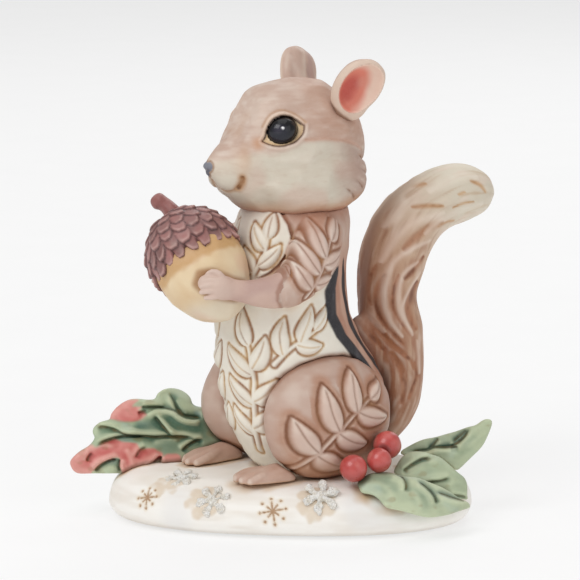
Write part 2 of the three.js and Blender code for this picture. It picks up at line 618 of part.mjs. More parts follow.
// Holly leaves: three spiny blades that fan out over the mound's end
const hollyEdge = reachCurve([
  [0, 1.2],
  [0.1, 3.4],
  [0.25, 6.2],
  [0.36, 4.6],
  [0.52, 6.6],
  [0.64, 4],
  [0.78, 4.6],
  [0.88, 2],
  [1, 0.4],
]);
const hollySprig = [
  {
    name: "holly_leaf_front",
    midrib: [
      [27.5, -22, 0.6],
      [18, -22.5, -0.8],
      [8.5, -20.5, -3],
      [0, -15.5, -5.4],
    ],
    lean: [0.1, -0.84, -0.54],
    width: 1.05,
  },
  {
    name: "holly_leaf_middle",
    midrib: [
      [20, -9.5, 3.2],
      [13, -8.5, 2.6],
      [6, -8, 0.4],
      [0, -9.5, -3.6],
    ],
    lean: [0.1, -0.86, -0.5],
    width: 0.95,
  },
  {
    name: "holly_leaf_back",
    midrib: [
      [18, 0, 1.5],
      [11, 1.5, 3],
      [4, 3, 4.9],
      [-4.3, 5.2, 12.3],
    ],
    lean: [0.1, -0.55, -0.83],
    width: 0.95,
  },
].map(({ name, midrib, lean, width }) => ({
  name,
  ...Object.fromEntries(
    [
      ["solid", 0],
      ["thicker", glueLine],
    ].map(([key, grow]) => [
      key,
      solidOf(
        blade({
          midrib: midrib.map(([fromEnd, y, z]) => [mound.length / 2 - fromEnd, y, mound.height + z]),
          across: (share) => width * hollyEdge(share) + grow,
          step: (share, reach) => new THREE.Vector3(...lean).normalize().multiplyScalar(reach),
          ...hollyLeaf,
          thickness: hollyLeaf.thickness + 2 * grow,
        }),
      ),
    ]),
  ),
}));

const berryBall = ({ x, y, z, radius }, grow = 0) =>
  solidOf(new THREE.SphereGeometry(radius + grow, 14, 9).translate(x, y, mound.height + z));

// Raised snowflakes: bars that cross in one middle, kept between two skins over the mound. A flake
// faces up, tilted towards -Y.
const flakeShell = solidOf(moundSkin(glueLine + flake.thickness)).subtract(moundClear);
function snowflake({ x, fromSide, z, size, turn, tilt }) {
  const y = -Math.sign(tilt) * (mound.width / 2 - fromSide);
  const bars = [];
  for (let arm = 0; arm < flake.arms / 2; arm++) {
    const angle = radians(turn) + (Math.PI * arm) / (flake.arms / 2);
    const bar = (length, width, along, slant) =>
      new THREE.BoxGeometry(length, width, 2 * flake.reach)
        .rotateZ(slant)
        .translate(along, 0, 0)
        .rotateZ(angle)
        .rotateX(radians(tilt))
        .translate(x, y, z);
    bars.push(bar(size, flake.barWidth, 0, 0));
    for (const end of [-1, 1])
      for (const slant of [-1, 1])
        bars.push(bar(size * 0.24, flake.barWidth * 0.8, end * size * 0.36, (end * slant * Math.PI) / 3.4));
  }
  const form = bars.map((b) => solidOf(b)).reduce((a, b) => a.add(b));
  return largest(form.intersect(flakeShell));
}

// The finished pieces
add(figurine, "snow_mound", solidOf(moundSkin()).subtract(solidOf(feltRecess)), paint.snow);
add(figurine, "felt_pad", solidOf(feltSheet), paint.felt);
add(chipmunk, "torso", torsoBody, paint.belly);
add(chipmunk, "tail", tailBody, paint.fur);
["left", "right"].forEach((side, i) => {
  add(chipmunk, `haunch_${side}`, haunches[i].subtract(ground), paint.fur);
  add(chipmunk, `foot_${side}`, largest(feet[i].subtract(ground).subtract(haunchesClear[i])), paint.fur);
  add(chipmunk, `arm_${side}`, arms[i], paint.fur);
  add(head, `ear_${side}`, ears[i], paint.fur);
  add(head, `eye_${side}`, eyes[i], paint.eye);
});
add(head, "head", headBody, paint.fur);
add(acorn, "acorn_nut", inAcorn(nutSkin()), paint.nut);
add(acorn, "acorn_cap", capBody, paint.cap);
add(acorn, "acorn_stem", stemBody, paint.cap);
const nearLeaves = [moundClear, ...haunchesClear, ...feetClear, inChipmunk(tailSkin(glueLine)), torsoClear];
const clearOf = (solid, others) => largest(others.reduce((form, cut) => form.subtract(cut), solid));
add(figurine, "oak_leaf", clearOf(oakBody, nearLeaves), paint.leaf);
const berriesClear = berries.map((berry) => berryBall(berry, glueLine));
berries.forEach((berry, i) => {
  const neighbours = [moundClear, ...haunchesClear, ...berriesClear.slice(0, i)];
  add(figurine, `berry_${i + 1}`, clearOf(berryBall(berry), neighbours), paint.berry);
});
const leavesClear = [];
hollySprig.forEach(({ name, solid, thicker }) => {
  add(figurine, name, clearOf(solid, [...nearLeaves, ...berriesClear, ...leavesClear]), paint.leaf);
  leavesClear.push(thicker);
});
snowflakes.forEach((place, i) => add(figurine, `snowflake_${i + 1}`, snowflake(place), paint.glitter));

export default figurine;
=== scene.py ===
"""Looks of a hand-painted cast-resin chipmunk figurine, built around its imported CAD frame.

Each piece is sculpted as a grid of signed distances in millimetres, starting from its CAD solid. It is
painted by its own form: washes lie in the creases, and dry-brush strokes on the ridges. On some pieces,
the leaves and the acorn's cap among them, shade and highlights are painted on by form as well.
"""
import math

import bpy
import numpy as np
import openvdb as vdb
from mathutils import Matrix, Vector


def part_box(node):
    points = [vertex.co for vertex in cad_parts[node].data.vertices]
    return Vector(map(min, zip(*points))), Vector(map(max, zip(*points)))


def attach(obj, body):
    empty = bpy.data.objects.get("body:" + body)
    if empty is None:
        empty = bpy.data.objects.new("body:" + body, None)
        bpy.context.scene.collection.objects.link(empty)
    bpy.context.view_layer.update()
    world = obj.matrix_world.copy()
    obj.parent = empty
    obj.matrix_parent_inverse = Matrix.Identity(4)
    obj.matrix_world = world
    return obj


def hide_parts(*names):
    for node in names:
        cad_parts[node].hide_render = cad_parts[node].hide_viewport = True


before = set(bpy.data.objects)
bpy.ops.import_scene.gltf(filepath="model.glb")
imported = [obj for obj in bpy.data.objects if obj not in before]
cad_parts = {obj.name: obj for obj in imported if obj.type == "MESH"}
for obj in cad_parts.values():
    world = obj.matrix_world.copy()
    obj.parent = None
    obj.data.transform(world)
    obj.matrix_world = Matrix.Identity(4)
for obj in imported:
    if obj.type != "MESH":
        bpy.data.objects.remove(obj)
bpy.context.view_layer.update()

MM = 1000.0  # millimetres in a metre
FAR = 99.0  # millimetres, past every piece


# Small maths
def vec(*values):
    return np.array(values, float)


def unit(v):
    v = np.asarray(v, float)
    return v / np.linalg.norm(v)


def smoothstep(low, high, x):
    t = np.clip((x - low) / (high - low), 0, 1)
    return t * t * (3 - 2 * t)


def hump(x, middle, width):
    """1 at the middle, falling smoothly to 0 at a width away from it."""
    return 1 - smoothstep(0, width, np.abs(x - middle))


def srgb(r, g, b):
    """A linear colour from screen values of 0 to 255."""
    c = np.array([r, g, b], float) / 255
    return np.where(c <= 0.04045, c / 12.92, ((c + 0.055) / 1.055) ** 2.4)


def mix(a, b, t):
    t = np.asarray(t)
    t = t[..., None] if t.ndim and np.ndim(a) + np.ndim(b) > 1 else t
    return a * (1 - t) + b * t


def layers(colour, *coats):
    """Coats of paint one over the other, each a colour, or a tuple of screen values, and its share."""
    for paint, share in coats:
        colour = mix(colour, srgb(*paint) if isinstance(paint, tuple) else paint, share)
    return colour


def curve_points(points, count):
    """Points along a smooth curve through the given ones (Catmull-Rom)."""
    p = np.asarray(points, float)
    p = np.vstack([2 * p[0] - p[1], p, 2 * p[-1] - p[-2]])
    spans = len(p) - 3
    out = []
    for s in np.linspace(0, spans - 1e-9, count):
        i = int(s)
        t = s - i
        a, b, c, d = p[i : i + 4]
        out.append(
            0.5 * (2 * b + (c - a) * t + (2 * a - 5 * b + 4 * c - d) * t**2 + (3 * b - a - 3 * c + d) * t**3)
        )
    return np.array(out)


def smooth_min(a, b, k):
    if np.ndim(k) == 0 and k <= 0:
        return np.minimum(a, b)
    h = np.clip(0.5 + 0.5 * (b - a) / k, 0, 1)
    return b * (1 - h) + a * h - k * h * (1 - h)


def corners(f):
    """The eight corners of a cell, with the weight of each at a place f inside it."""
    for dx in (0, 1):
        for dy in (0, 1):
            for dz in (0, 1):
                weight = (
                    (f[..., 0] if dx else 1 - f[..., 0])
                    * (f[..., 1] if dy else 1 - f[..., 1])
                    * (f[..., 2] if dz else 1 - f[..., 2])
                )
                yield dx, dy, dz, weight


class Noise:
    """Smooth seeded noise from -1 to 1, and distances to scattered points."""

    SIZE = 24

    def __init__(self, seed):
        rng = np.random.default_rng(seed)
        self.values = (rng.random((self.SIZE,) * 3) * 2 - 1).astype(np.float32)  # repeats after SIZE cells
        self.points = rng.random((self.SIZE,) * 3 + (3,)).astype(np.float32)

    def __call__(self, p, scale, octaves=1):
        total, weight, size = 0, 0, np.asarray(scale, float)
        for octave in range(octaves):
            share = 0.5**octave
            total = total + share * self._one(p / size + 7.3 * octave)
            weight += share
            size = size / 2
        return total / weight

    def _one(self, q):
        i = np.floor(q).astype(int)
        f = (q - i).astype(np.float32)
        f = f * f * (3 - 2 * f)
        n, out = self.SIZE, 0
        for dx, dy, dz, weight in corners(f):
            at = (i[..., 0] + dx) % n, (i[..., 1] + dy) % n, (i[..., 2] + dz) % n
            out = out + weight * self.values[at]
        return out

    def cells(self, p, scale):
        """Distance to the nearest scattered point, in cells, and a random value of that cell."""
        q = p / np.asarray(scale, float)
        i = np.floor(q).astype(int)
        n = self.SIZE
        best = np.full(q.shape[:-1], 9.0, np.float32)
        value = np.zeros(q.shape[:-1], np.float32)
        for dx in (-1, 0, 1):
            for dy in (-1, 0, 1):
                for dz in (-1, 0, 1):
                    c = i + (dx, dy, dz)
                    at = (c[..., 0] % n, c[..., 1] % n, c[..., 2] % n)
                    d = (((c + self.points[at] - q) ** 2).sum(-1)).astype(np.float32)
                    closer = d < best
                    best = np.where(closer, d, best)
                    value = np.where(closer, self.values[at], value)
        return np.sqrt(best), value


# Places in the frame
def box_mm(node):
    low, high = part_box(node)
    return np.array(low) * MM, np.array(high) * MM


def middle_of(node):
    low, high = box_mm(node)
    return (low + high) / 2


class Place:
    """A local frame in millimetres, given by its origin and its axes."""

    def __init__(self, origin, x, y, z):
        self.origin = np.asarray(origin, float)
        self.axes = np.array([x, y, z], float)  # rows are the local axes in the frame

    def local(self, world):
        return (np.asarray(world) - self.origin) @ self.axes.T

    def world(self, local):
        return np.asarray(local) @ self.axes + self.origin

    def inner(self, offset):
        return Place(self.world(vec(*offset)), *self.axes)


TURN, TILT = math.radians(5.5), math.radians(10)  # of the view that the figurine is made for
ACROSS = vec(math.cos(TURN), math.sin(TURN), 0)
TOWARDS = vec(math.sin(TURN) * math.cos(TILT), -math.cos(TURN) * math.cos(TILT), math.sin(TILT))
UPWARD = np.cross(TOWARDS, ACROSS)
GLUE = 0.3  # gap between two castings
WORLD = Place(vec(0, 0, 0), vec(1, 0, 0), vec(0, 1, 0), vec(0, 0, 1))
MOUND_TOP = box_mm("snow_mound")[1][2]
UP = vec(0, 0, 1)
_left, _right = middle_of("haunch_left"), middle_of("haunch_right")
_across = _left - _right
LEFTWARD = unit(_across * (1, 1, 0))
FORWARD = np.cross(LEFTWARD, UP)
HAUNCH_X = -3.7
_ground = (_left + _right) / 2 - FORWARD * HAUNCH_X
BODY = Place(vec(_ground[0], _ground[1], MOUND_TOP + GLUE), FORWARD, LEFTWARD, UP)
NECK = vec(-3.4, 0, 69.5)
HEAD = BODY.inner(NECK)


# Clay
class Clay:
    """A form kept as signed distances on a grid, in millimetres of a Place. Inside is negative."""

    EMPTY = 6.0  # the distance where no form is near
    MARGIN = 3  # how far round a form its distances are worked out

    def __init__(self, place, low, high, voxel):
        self.place, self.h = place, voxel
        self.first = np.floor(np.asarray(low) / voxel).astype(int)
        last = np.ceil(np.asarray(high) / voxel).astype(int)
        self.shape = tuple(last - self.first + 1)
        self.axis = [voxel * (self.first[k] + np.arange(self.shape[k])) for k in range(3)]
        self.d = np.full(self.shape, self.EMPTY, np.float32)

    @classmethod
    def around(cls, place, nodes, voxel, margin=3.0):
        """Clay in the shape of some CAD nodes."""
        points = np.vstack([place.local(node_points(n)) for n in nodes])
        clay = cls(place, points.min(0) - margin, points.max(0) + margin, voxel)
        for n in nodes:
            clay.d = np.minimum(clay.d, clay.level_set(n))
        return clay

    def level_set(self, node, band=4.5):
        points = self.place.local(node_points(node))
        turn = vdb.createLinearTransform(voxelSize=self.h)
        grid = vdb.FloatGrid.createLevelSetFromPolygons(
            points.astype(np.float32),
            triangles=node_triangles(node),
            transform=turn,
            halfWidth=band / self.h,
        )
        out = np.full(self.shape, band, np.float32)
        grid.copyToArray(out, ijk=tuple(int(i) for i in self.first))
        return out

    def block(self, low, high):
        """The part of the grid in a box: its slices and its points."""
        parts = []
        for k in range(3):
            a = int(np.searchsorted(self.axis[k], low[k]))
            b = int(np.searchsorted(self.axis[k], high[k], side="right"))
            parts.append(slice(min(a, self.shape[k] - 1), max(b, min(a, self.shape[k] - 1) + 1)))
        x, y, z = (self.axis[k][parts[k]].astype(np.float32) for k in range(3))
        return tuple(parts), np.stack(np.meshgrid(x, y, z, indexing="ij"), -1)

    def add(self, form, k=1.0):
        low, high = form.box(k + self.MARGIN)
        at, p = self.block(low, high)
        self.d[at] = smooth_min(self.d[at], form.distance(p), k)

    def cut(self, form, k=0.5):
        low, high = form.box(k + self.MARGIN)
        at, p = self.block(low, high)
        self.d[at] = -smooth_min(-self.d[at], form.distance(p), k)

    def blur(self, sigma):
        reach = max(1, int(math.ceil(2.5 * sigma / self.h)))
        steps = np.arange(-reach, reach + 1)
        weights = np.exp(-0.5 * (steps * self.h / sigma) ** 2)
        weights /= weights.sum()
        out = self.d
        for k in range(3):
            n = out.shape[k]
            total = 0
            for s, w in zip(steps, weights):
                take = np.clip(np.arange(n) + s, 0, n - 1)
                total = total + np.float32(w) * np.take(out, take, axis=k)
            out = total
        return out

    def smooth(self, sigma, grow=0.0):
        self.d = self.blur(sigma) - np.float32(grow)

    def near(self, reach):
        """Grid cells near the surface, and their points."""
        at = np.nonzero(np.abs(self.d) < reach)
        p = np.stack([self.axis[k][at[k]] for k in range(3)], -1).astype(np.float32)
        return at, p

    def raise_by(self, height, reach=2.0):
        """Moves the surface out by height(points), in millimetres."""
        at, p = self.near(reach)
        self.d[at] -= height(p).astype(np.float32)

    def facets(self, noise, size, radius, share=1.0, where=None):
        """Flat carved facets, each as wide as a cell of the noise."""
        at, p = self.near(2.0)
        size = np.asarray(size, float)
        f, _ = noise.cells(p, size)
        h = share * (f * size.mean()) ** 2 / (2 * radius)
        h = np.minimum(h, 0.9) - share * 0.12 * size.mean() ** 2 / radius
        if where is not None:
            h = h * where(p)
        self.d[at] -= h.astype(np.float32)

    def sample(self, p, source=None):
        """The value at points, between the grid's own."""
        a = self.d if source is None else source
        q = p / self.h - self.first
        i = np.clip(np.floor(q).astype(int), 0, np.array(self.shape) - 2)
        f = np.clip(q - i, 0, 1)
        out = 0
        for dx, dy, dz, weight in corners(f):
            out = out + weight * a[i[:, 0] + dx, i[:, 1] + dy, i[:, 2] + dz]
        return out

    def surface(self):
        """Points and faces of the form's skin, in the local place."""
        a = np.ascontiguousarray(np.pad(self.d, 1, constant_values=4.0), np.float32)
        grid = vdb.FloatGrid(self.EMPTY)
        grid.copyFromArray(a, ijk=tuple(int(i) - 1 for i in self.first))
        grid.transform = vdb.createLinearTransform(voxelSize=self.h)
        points, quads = grid.convertToQuads(isovalue=0)
        points, quads = np.asarray(points, float), np.asarray(quads, int)
        points, quads = largest_body(points, quads)
        a, b, c = (points[quads[:, k]] for k in (0, 1, 2))
        volume = (np.cross(a, b) * c).sum()
        if volume < 0:
            quads = quads[:, ::-1]
        return points, quads

    def normals(self, p):
        e = self.h
        g = np.stack(
            [self.sample(p + np.eye(3)[k] * e) - self.sample(p - np.eye(3)[k] * e) for k in range(3)], -1
        )
        return g / np.maximum(np.linalg.norm(g, axis=1, keepdims=True), 1e-9)

    def snap(self, points):
        """Points moved onto the skin."""
        p = np.array(points, float)
        for _ in range(4):
            p = p - self.sample(p)[:, None] * self.normals(p)
        return p

    def crevice(self, p, sigma):
        """How deep a point lies in a crease, in millimetres, or below 0 how far it stands on a ridge."""
        return -self.sample(p, self.blur(sigma))


def largest_body(points, quads):
    """The largest connected piece of a mesh, without loose crumbs."""
    label = np.arange(len(points))
    while True:
        low = label[quads].min(1)
        new = label.copy()
        for k in range(4):
            np.minimum.at(new, quads[:, k], low)
        new = new[new]
        if (new == label).all():
            break
        label = new
    names, counts = np.unique(label, return_counts=True)
    keep = label == names[counts.argmax()]
    index = np.cumsum(keep) - 1
    return points[keep], index[quads[keep[quads[:, 0]]]]


def node_points(name):
    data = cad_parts[name].data
    co = np.zeros(len(data.vertices) * 3, np.float32)
    data.vertices.foreach_get("co", co)
    return co.reshape(-1, 3).astype(float) * MM


def node_triangles(name):
    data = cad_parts[name].data
    data.calc_loop_triangles()
    index = np.zeros(len(data.loop_triangles) * 3, np.int32)
    data.loop_triangles.foreach_get("vertices", index)
    return index.reshape(-1, 3).astype(np.uint32)


class Ball:
    """An ellipsoid, turned by the given axes."""

    def __init__(self, middle, radii, axes=None):
        self.c = np.asarray(middle, float)
        self.r = np.broadcast_to(np.asarray(radii, float), (3,))
        self.axes = np.eye(3) if axes is None else np.asarray(axes, float)

    def box(self, margin):
        reach = np.sqrt(((self.axes * self.r[:, None]) ** 2).sum(0)) + margin
        return self.c - reach, self.c + reach

    def distance(self, p):
        q = (p - self.c.astype(np.float32)) @ self.axes.T.astype(np.float32)
        a = np.sqrt(((q / self.r) ** 2).sum(-1))
        b = np.sqrt(((q / self.r**2) ** 2).sum(-1))
        return (a * (a - 1) / np.maximum(b, 1e-6)).astype(np.float32)


class Rope:
    """A chain of rounded cones through some points."""

    def __init__(self, points, radii):
        self.p = np.asarray(points, float)
        self.r = np.broadcast_to(np.asarray(radii, float), (len(self.p),))

    def box(self, margin):
        reach = self.r.max() + margin
        return self.p.min(0) - reach, self.p.max(0) + reach

    def distance(self, p):
        best = None
        for a, b, ra, rb in zip(self.p, self.p[1:], self.r, self.r[1:]):
            ab = b - a
            ap = p - a.astype(np.float32)
            t = np.clip((ap @ ab) / max(ab @ ab, 1e-9), 0, 1)[..., None]
            d = np.linalg.norm(ap - t * ab, axis=-1) - (ra + (rb - ra) * t[..., 0])
            best = d if best is None else np.minimum(best, d)
        return best.astype(np.float32)


# Flat patterns on a skin
def line_distance(uv, points):
    """Distance to a flat polyline, how far along it that is, from 0 to 1, and the side, 1 for its left."""
    points = np.asarray(points, float)
    lengths = np.r_[0, np.cumsum(np.linalg.norm(np.diff(points, axis=0), axis=1))]
    best = np.full(len(uv), 1e3, np.float32)
    along = np.zeros(len(uv), np.float32)
    side = np.zeros(len(uv), np.float32)
    low, high = points.min(0) - 4, points.max(0) + 4
    inside = np.nonzero(((uv > low) & (uv < high)).all(1))[0]
    q = uv[inside]
    b0, a0, s0 = best[inside], along[inside], side[inside]
    for i in range(len(points) - 1):
        a, ab = points[i], points[i + 1] - points[i]
        ap = q - a
        t = np.clip((ap @ ab) / max(ab @ ab, 1e-9), 0, 1)
        off = ap - t[:, None] * ab
        d = np.hypot(off[:, 0], off[:, 1])
        closer = d < b0
        b0 = np.where(closer, d, b0)
        a0 = np.where(closer, (lengths[i] + t * (lengths[i + 1] - lengths[i])) / lengths[-1], a0)
        s0 = np.where(closer, np.sign(ab[0] * off[:, 1] - ab[1] * off[:, 0]), s0)
    best[inside], along[inside], side[inside] = b0, a0, s0
    return best, along, side


def curve_distance(uv, points):
    """The same for a smooth curve through a few points."""
    return line_distance(uv, curve_points(points, 6 * len(points)))


def leaf_shape(uv, root, tip, width, bend=0.0, fullness=0.72):
    """Signed distance to a pointed leaf from its root to its tip, and the distance to its midrib."""
    root, tip = vec(*root), vec(*tip)
    way = tip - root
    normal = unit(vec(-way[1], way[0]))
    points = [root + way * t + normal * bend * 4 * t * (1 - t) for t in np.linspace(0, 1, 9)]
    d, along, _ = line_distance(uv, points)
    half = width / 2 * np.maximum(np.sin(np.pi * np.clip(along, 0, 1) ** fullness), 0) ** 0.75
    return d - half, d


# Meshes and materials
def make_mesh(name, points, faces, place, colour):
    """A smooth-shaded mesh object of points in a Place, with its paint as a colour attribute."""
    mesh = bpy.data.meshes.new(name)
    faces = np.asarray(faces)
    sides = faces.shape[1]
    mesh.vertices.add(len(points))
    mesh.vertices.foreach_set("co", (place.world(points) / MM).astype(np.float32).ravel())
    mesh.loops.add(faces.size)
    mesh.loops.foreach_set("vertex_index", faces.astype(np.int32).ravel())
    mesh.polygons.add(len(faces))
    mesh.polygons.foreach_set("loop_start", (np.arange(len(faces)) * sides).astype(np.int32))
    mesh.polygons.foreach_set("use_smooth", np.ones(len(faces), bool))
    mesh.update(calc_edges=True)
    mesh.validate()
    if colour is not None:
        values = np.c_[np.asarray(colour, np.float32), np.ones(len(colour), np.float32)]
        data = mesh.color_attributes.new("paint", "FLOAT_COLOR", "POINT")
        data.data.foreach_set("color", values.astype(np.float32).ravel())
    obj = bpy.data.objects.new(name, mesh)
    bpy.context.scene.collection.objects.link(obj)
    return obj


class Nodes:
    """A short way to write a material's nodes."""

    def __init__(self, name):
        self.material = bpy.data.materials.new(name)
        self.material.use_nodes = True
        self.tree = self.material.node_tree
        self.tree.nodes.clear()
        self.out = self.tree.nodes.new("ShaderNodeOutputMaterial")

    def new(self, kind, inputs=None, **settings):
        node = self.tree.nodes.new("ShaderNode" + kind)
        for key, value in settings.items():
            setattr(node, key, value)
        for key, value in (inputs or {}).items():
            socket = node.inputs[key]
            if isinstance(value, bpy.types.NodeSocket):
                self.tree.links.new(value, socket)
            else:
                socket.default_value = value
        return node

    def noise(self, scale, detail=3, roughness=0.5, stretch=(1, 1, 1)):
        """Noise in millimetre-sized grains: scale is in 1/metre."""
        where = self.new("TexCoord").outputs["Object"]
        where = self.new("Mapping", {"Vector": where, "Scale": stretch}).outputs["Vector"]
        inputs = {"Vector": where, "Scale": scale, "Detail": detail, "Roughness": roughness}
        return self.new("TexNoise", inputs).outputs["Fac"]

    def ramp(self, factor, low, high, to_low=0.0, to_high=1.0):
        node = self.new(
            "MapRange",
            {"Value": factor, "From Min": low, "From Max": high, "To Min": to_low, "To Max": to_high},
        )
        return node.outputs["Result"]

    def mix(self, factor, a, b, blend="MIX"):
        node = self.new("Mix", data_type="RGBA", blend_type=blend)
        for key, value in (("Factor", factor), ("A", a), ("B", b)):
            socket = next(s for s in node.inputs if s.name == key and s.enabled)
            if isinstance(value, bpy.types.NodeSocket):
                self.tree.links.new(value, socket)
            elif key == "Factor":
                socket.default_value = value
            else:
                socket.default_value = (*value, 1.0)
        return next(s for s in node.outputs if s.enabled)

    def attribute(self, name):
        return self.new("Attribute", attribute_name=name).outputs["Color"]

    def bump(self, height, strength, distance, normal=None):
        inputs = {"Height": height, "Strength": strength, "Distance": distance}
        if normal is not None:
            inputs["Normal"] = normal
        return self.new("Bump", inputs).outputs["Normal"]

    def shader(self, **inputs):
        node = self.new("BsdfPrincipled", inputs)
        self.tree.links.new(node.outputs["BSDF"], self.out.inputs["Surface"])
        return node


def painted(name, rough=(0.45, 0.62), coat=0.0, grain=0.05, mottle=0.10, specular=0.4, strokes=None):
    """Satin acrylic over resin: the painted colour with brush mottling, uneven gloss and a fine tooth."""
    m = Nodes(name)
    colour = m.attribute("paint")
    cloudy = m.noise(260, 4, 0.6)
    fine = m.noise(1500, 3, 0.6)
    warm = m.mix(1.0, colour, srgb(226, 196, 176), "MULTIPLY")
    colour = m.mix(m.ramp(cloudy, 0.35, 0.65, 0, mottle), colour, warm)
    pale = m.mix(0.35, colour, (0.95, 0.92, 0.88))
    colour = m.mix(m.ramp(fine, 0.45, 0.75, 0, mottle * 0.8), colour, pale)
    if strokes:
        streak = m.noise(900, 2, 0.5, strokes)
        colour = m.mix(m.ramp(streak, 0.55, 0.75, 0, 0.16), colour, m.mix(0.5, colour, (0.95, 0.9, 0.85)))
        deep = m.mix(1.0, colour, srgb(205, 160, 140), "MULTIPLY")
        colour = m.mix(m.ramp(streak, 0.45, 0.25, 0, 0.14), colour, deep)
    normal = m.bump(m.noise(2200, 3, 0.6), grain, 0.0004)
    normal = m.bump(cloudy, 0.12, 0.0006, normal)
    m.shader(
        **{
            "Base Color": colour,
            "Roughness": m.ramp(fine, 0.3, 0.7, *rough),
            "Normal": normal,
            "Specular IOR Level": specular,
            "Coat Weight": coat,
            "Coat Roughness": 0.25,
        }
    )
    return m.material


def cast(name, p, faces, place, colour, material, node=None):
    """A painted piece in place of the CAD node of the same name, or of the one given."""
    obj = make_mesh(name, p, faces, place, colour)
    obj.data.materials.append(material)
    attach(obj, "root")
    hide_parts(node or name.lower())


FUR = srgb(199, 171, 156)
FUR_PALE = srgb(216, 199, 186)
FUR_DEEP = srgb(168, 126, 106)
WASH = srgb(126, 78, 48)
WASH_LIGHT = srgb(186, 140, 98)
DARK = srgb(46, 44, 48)


# Head
def shape_head():
    """The head's clay, and the lines cut into it."""
    noise = Noise(HEAD_SEED)
    clay = Clay.around(HEAD, ["head"], voxel=0.33, margin=4.0)
    # Temples
    for side in (1, -1):
        clay.add(Ball((9.8, side * (9.1 + 0.2 * side), 19), (4.9, 2.7 + 0.2 * side, 4.3)), 1.0)
    clay.raise_by(forehead_dip)
    clay.add(COLLAR, 1.6)
    clay.smooth(1.1, 0.15)
    # Muzzle and chin
    for side in (1, -1):
        clay.add(Ball((20.6, side * 2.3, 5.9), (3.2, 2.3, 2.4)), 1.8)
    clay.add(Ball((18.4, 0, 3.4), (3.2, 3.2, 1.8)), 1.6)
    clay.facets(noise, (6.4, 6.4, 5.2), 19, 0.8, lambda p: smoothstep(22, 14, p[:, 0]))
    for side in (1, -1):
        for start, tip, r in TUFTS:
            tuft = curve_points(np.array([start, tip]) * (1, side, 1), 5)
            clay.add(Rope(tuft, np.linspace(2.3, r, 5)), 0.35)
    clay.raise_by(tuft_grooves, 1.5)
    for y, z, r in NOSE_PAD:
        clay.add(Ball((25.3, y, z), (r + 0.1, r, r)), 0.35)
    clay.smooth(0.25)
    seat_eyes(clay)
    drawn = []
    for side in (1, -1):
        for points, r, k in HEAD_LINES:
            curve = clay.snap(curve_points(points, 16) * (1, side, 1))
            drawn.append(curve)
            clay.cut(Rope(curve, r * np.r_[0.5, np.full(14, 1.0), 0.6]), k)
        # Nostril
        clay.cut(Ball((26.2, side * 0.95, 8.7), (0.6, 0.35, 0.3)), 0.15)
    eye_cut(clay)
    return clay, drawn


def paint_head(clay, p, drawn):
    noise = Noise(HEAD_SEED)
    fine, broad = clay.crevice(p, 0.45), clay.crevice(p, 1.6)
    x, y, z = p[:, 0], np.abs(p[:, 1]), p[:, 2]
    flow = noise(p, (4.5, 2.2, 1.3), 2)
    colour = mix(srgb(197, 169, 153), srgb(217, 200, 187), smoothstep(-0.3, 0.7, flow) * 0.7)
    # Warmer behind the eye, pale on the brow
    colour = layers(
        colour,
        ((192, 150, 128), smoothstep(7, -2, x) * smoothstep(12, 17, z) * (0.5 + 0.3 * noise(p, 5))),
        ((222, 203, 188), hump(x, 15, 7) * smoothstep(9, 16, z) * (0.45 + 0.3 * noise(p + 9, 4))),
    )
    # Pale grey-cream cheek, below the crease behind the eye
    edge = z - np.interp(x, *CHEEK_TOP)
    cheek = smoothstep(0.5, -1.4, edge - 0.9 * noise(p, 5) * smoothstep(4, 9, x))
    pale = mix(srgb(212, 204, 187), srgb(224, 216, 200), smoothstep(-0.2, 0.7, noise(p + 12, (6, 6, 3), 2)))
    colour = layers(
        colour,
        (pale, cheek * 0.9),
        ((214, 180, 164), cheek * smoothstep(0.0, 0.6, noise(p + 40, 6)) * 0.4),
        ((180, 150, 136), cheek * smoothstep(1, -10, x + 2 * noise(p + 3, 5)) * 0.85),
    )
    # Painted shade before the eye and down to the muzzle, ochre washes on both sides of the snout, and brown
    # at the neck
    q = np.stack([x, y, z], -1)
    corner = np.linalg.norm((q - (15.8, 8.6, 15.6)) / (2.2, 2.2, 2.0), axis=1)
    valley = np.linalg.norm((q - (18.3, 6.2, 12.6)) / (1.6, 2.4, 4.2), axis=1)
    snout = smoothstep(17.5, 20.5, x + 0.6 * noise(p, 3)) * hump(z, 10.5, 4)
    colour = layers(
        colour,
        ((196, 144, 108), smoothstep(1.4, 0.2, corner) * 0.75),
        ((194, 154, 126), smoothstep(1.3, 0.3, valley) * 0.5),
        ((208, 172, 142), hump(x, 19.5, 2.6) * hump(z, 10.5, 5.5) * (y > 1.5) * 0.55),
        ((226, 208, 190), snout * 0.4),
    )
    # The neck's brown is a seam wash that darkens lower down as painted shade under the head
    neck = smoothstep(2.6, -2.2, z + 0.05 * x + 0.7 * noise(p, 4))
    colour = layers(
        colour,
        (mix(srgb(196, 152, 118), srgb(176, 120, 92), smoothstep(-0.6, -2.2, z)), neck * 0.85),
        (WASH_LIGHT, smoothstep(0.1, 0.5, broad) * 0.5),
        (WASH, smoothstep(0.05, 0.22, fine) * 0.85),
        ((240, 228, 214), smoothstep(0.04, 0.2, -fine) * 0.4),
    )
    # Lines of the mouth, the dimple and the cheek
    for curve, (near, wide, dark, soft) in zip(drawn, LINE_PAINT * 2):
        d = Rope(curve, 0.0).distance(p)
        colour = layers(
            colour,
            (soft, smoothstep(wide, near * 0.6, d) * 0.7),
            (dark, smoothstep(near, near * 0.4, d) * 0.85),
        )
    # Nose pad
    nose = np.min([np.linalg.norm(p - (25.3, a, b), axis=1) - r for a, b, r in NOSE_PAD], axis=0)
    grey = mix(srgb(128, 130, 140), srgb(102, 102, 112), smoothstep(9.6, 8.2, z))
    colour = layers(
        colour,
        ((150, 112, 84), hump(nose, 0.42, 0.42) * 0.85),
        (grey, smoothstep(0.3, 0.18, nose)),
    )
    return eye_paint(p, colour)


def make_head():
    clay, drawn = shape_head()
    p, faces = clay.surface()
    material = painted("fur_head", (0.48, 0.64), strokes=(0.35, 0.35, 1.0))
    cast("Head", p, faces, HEAD, paint_head(clay, p, drawn), material)


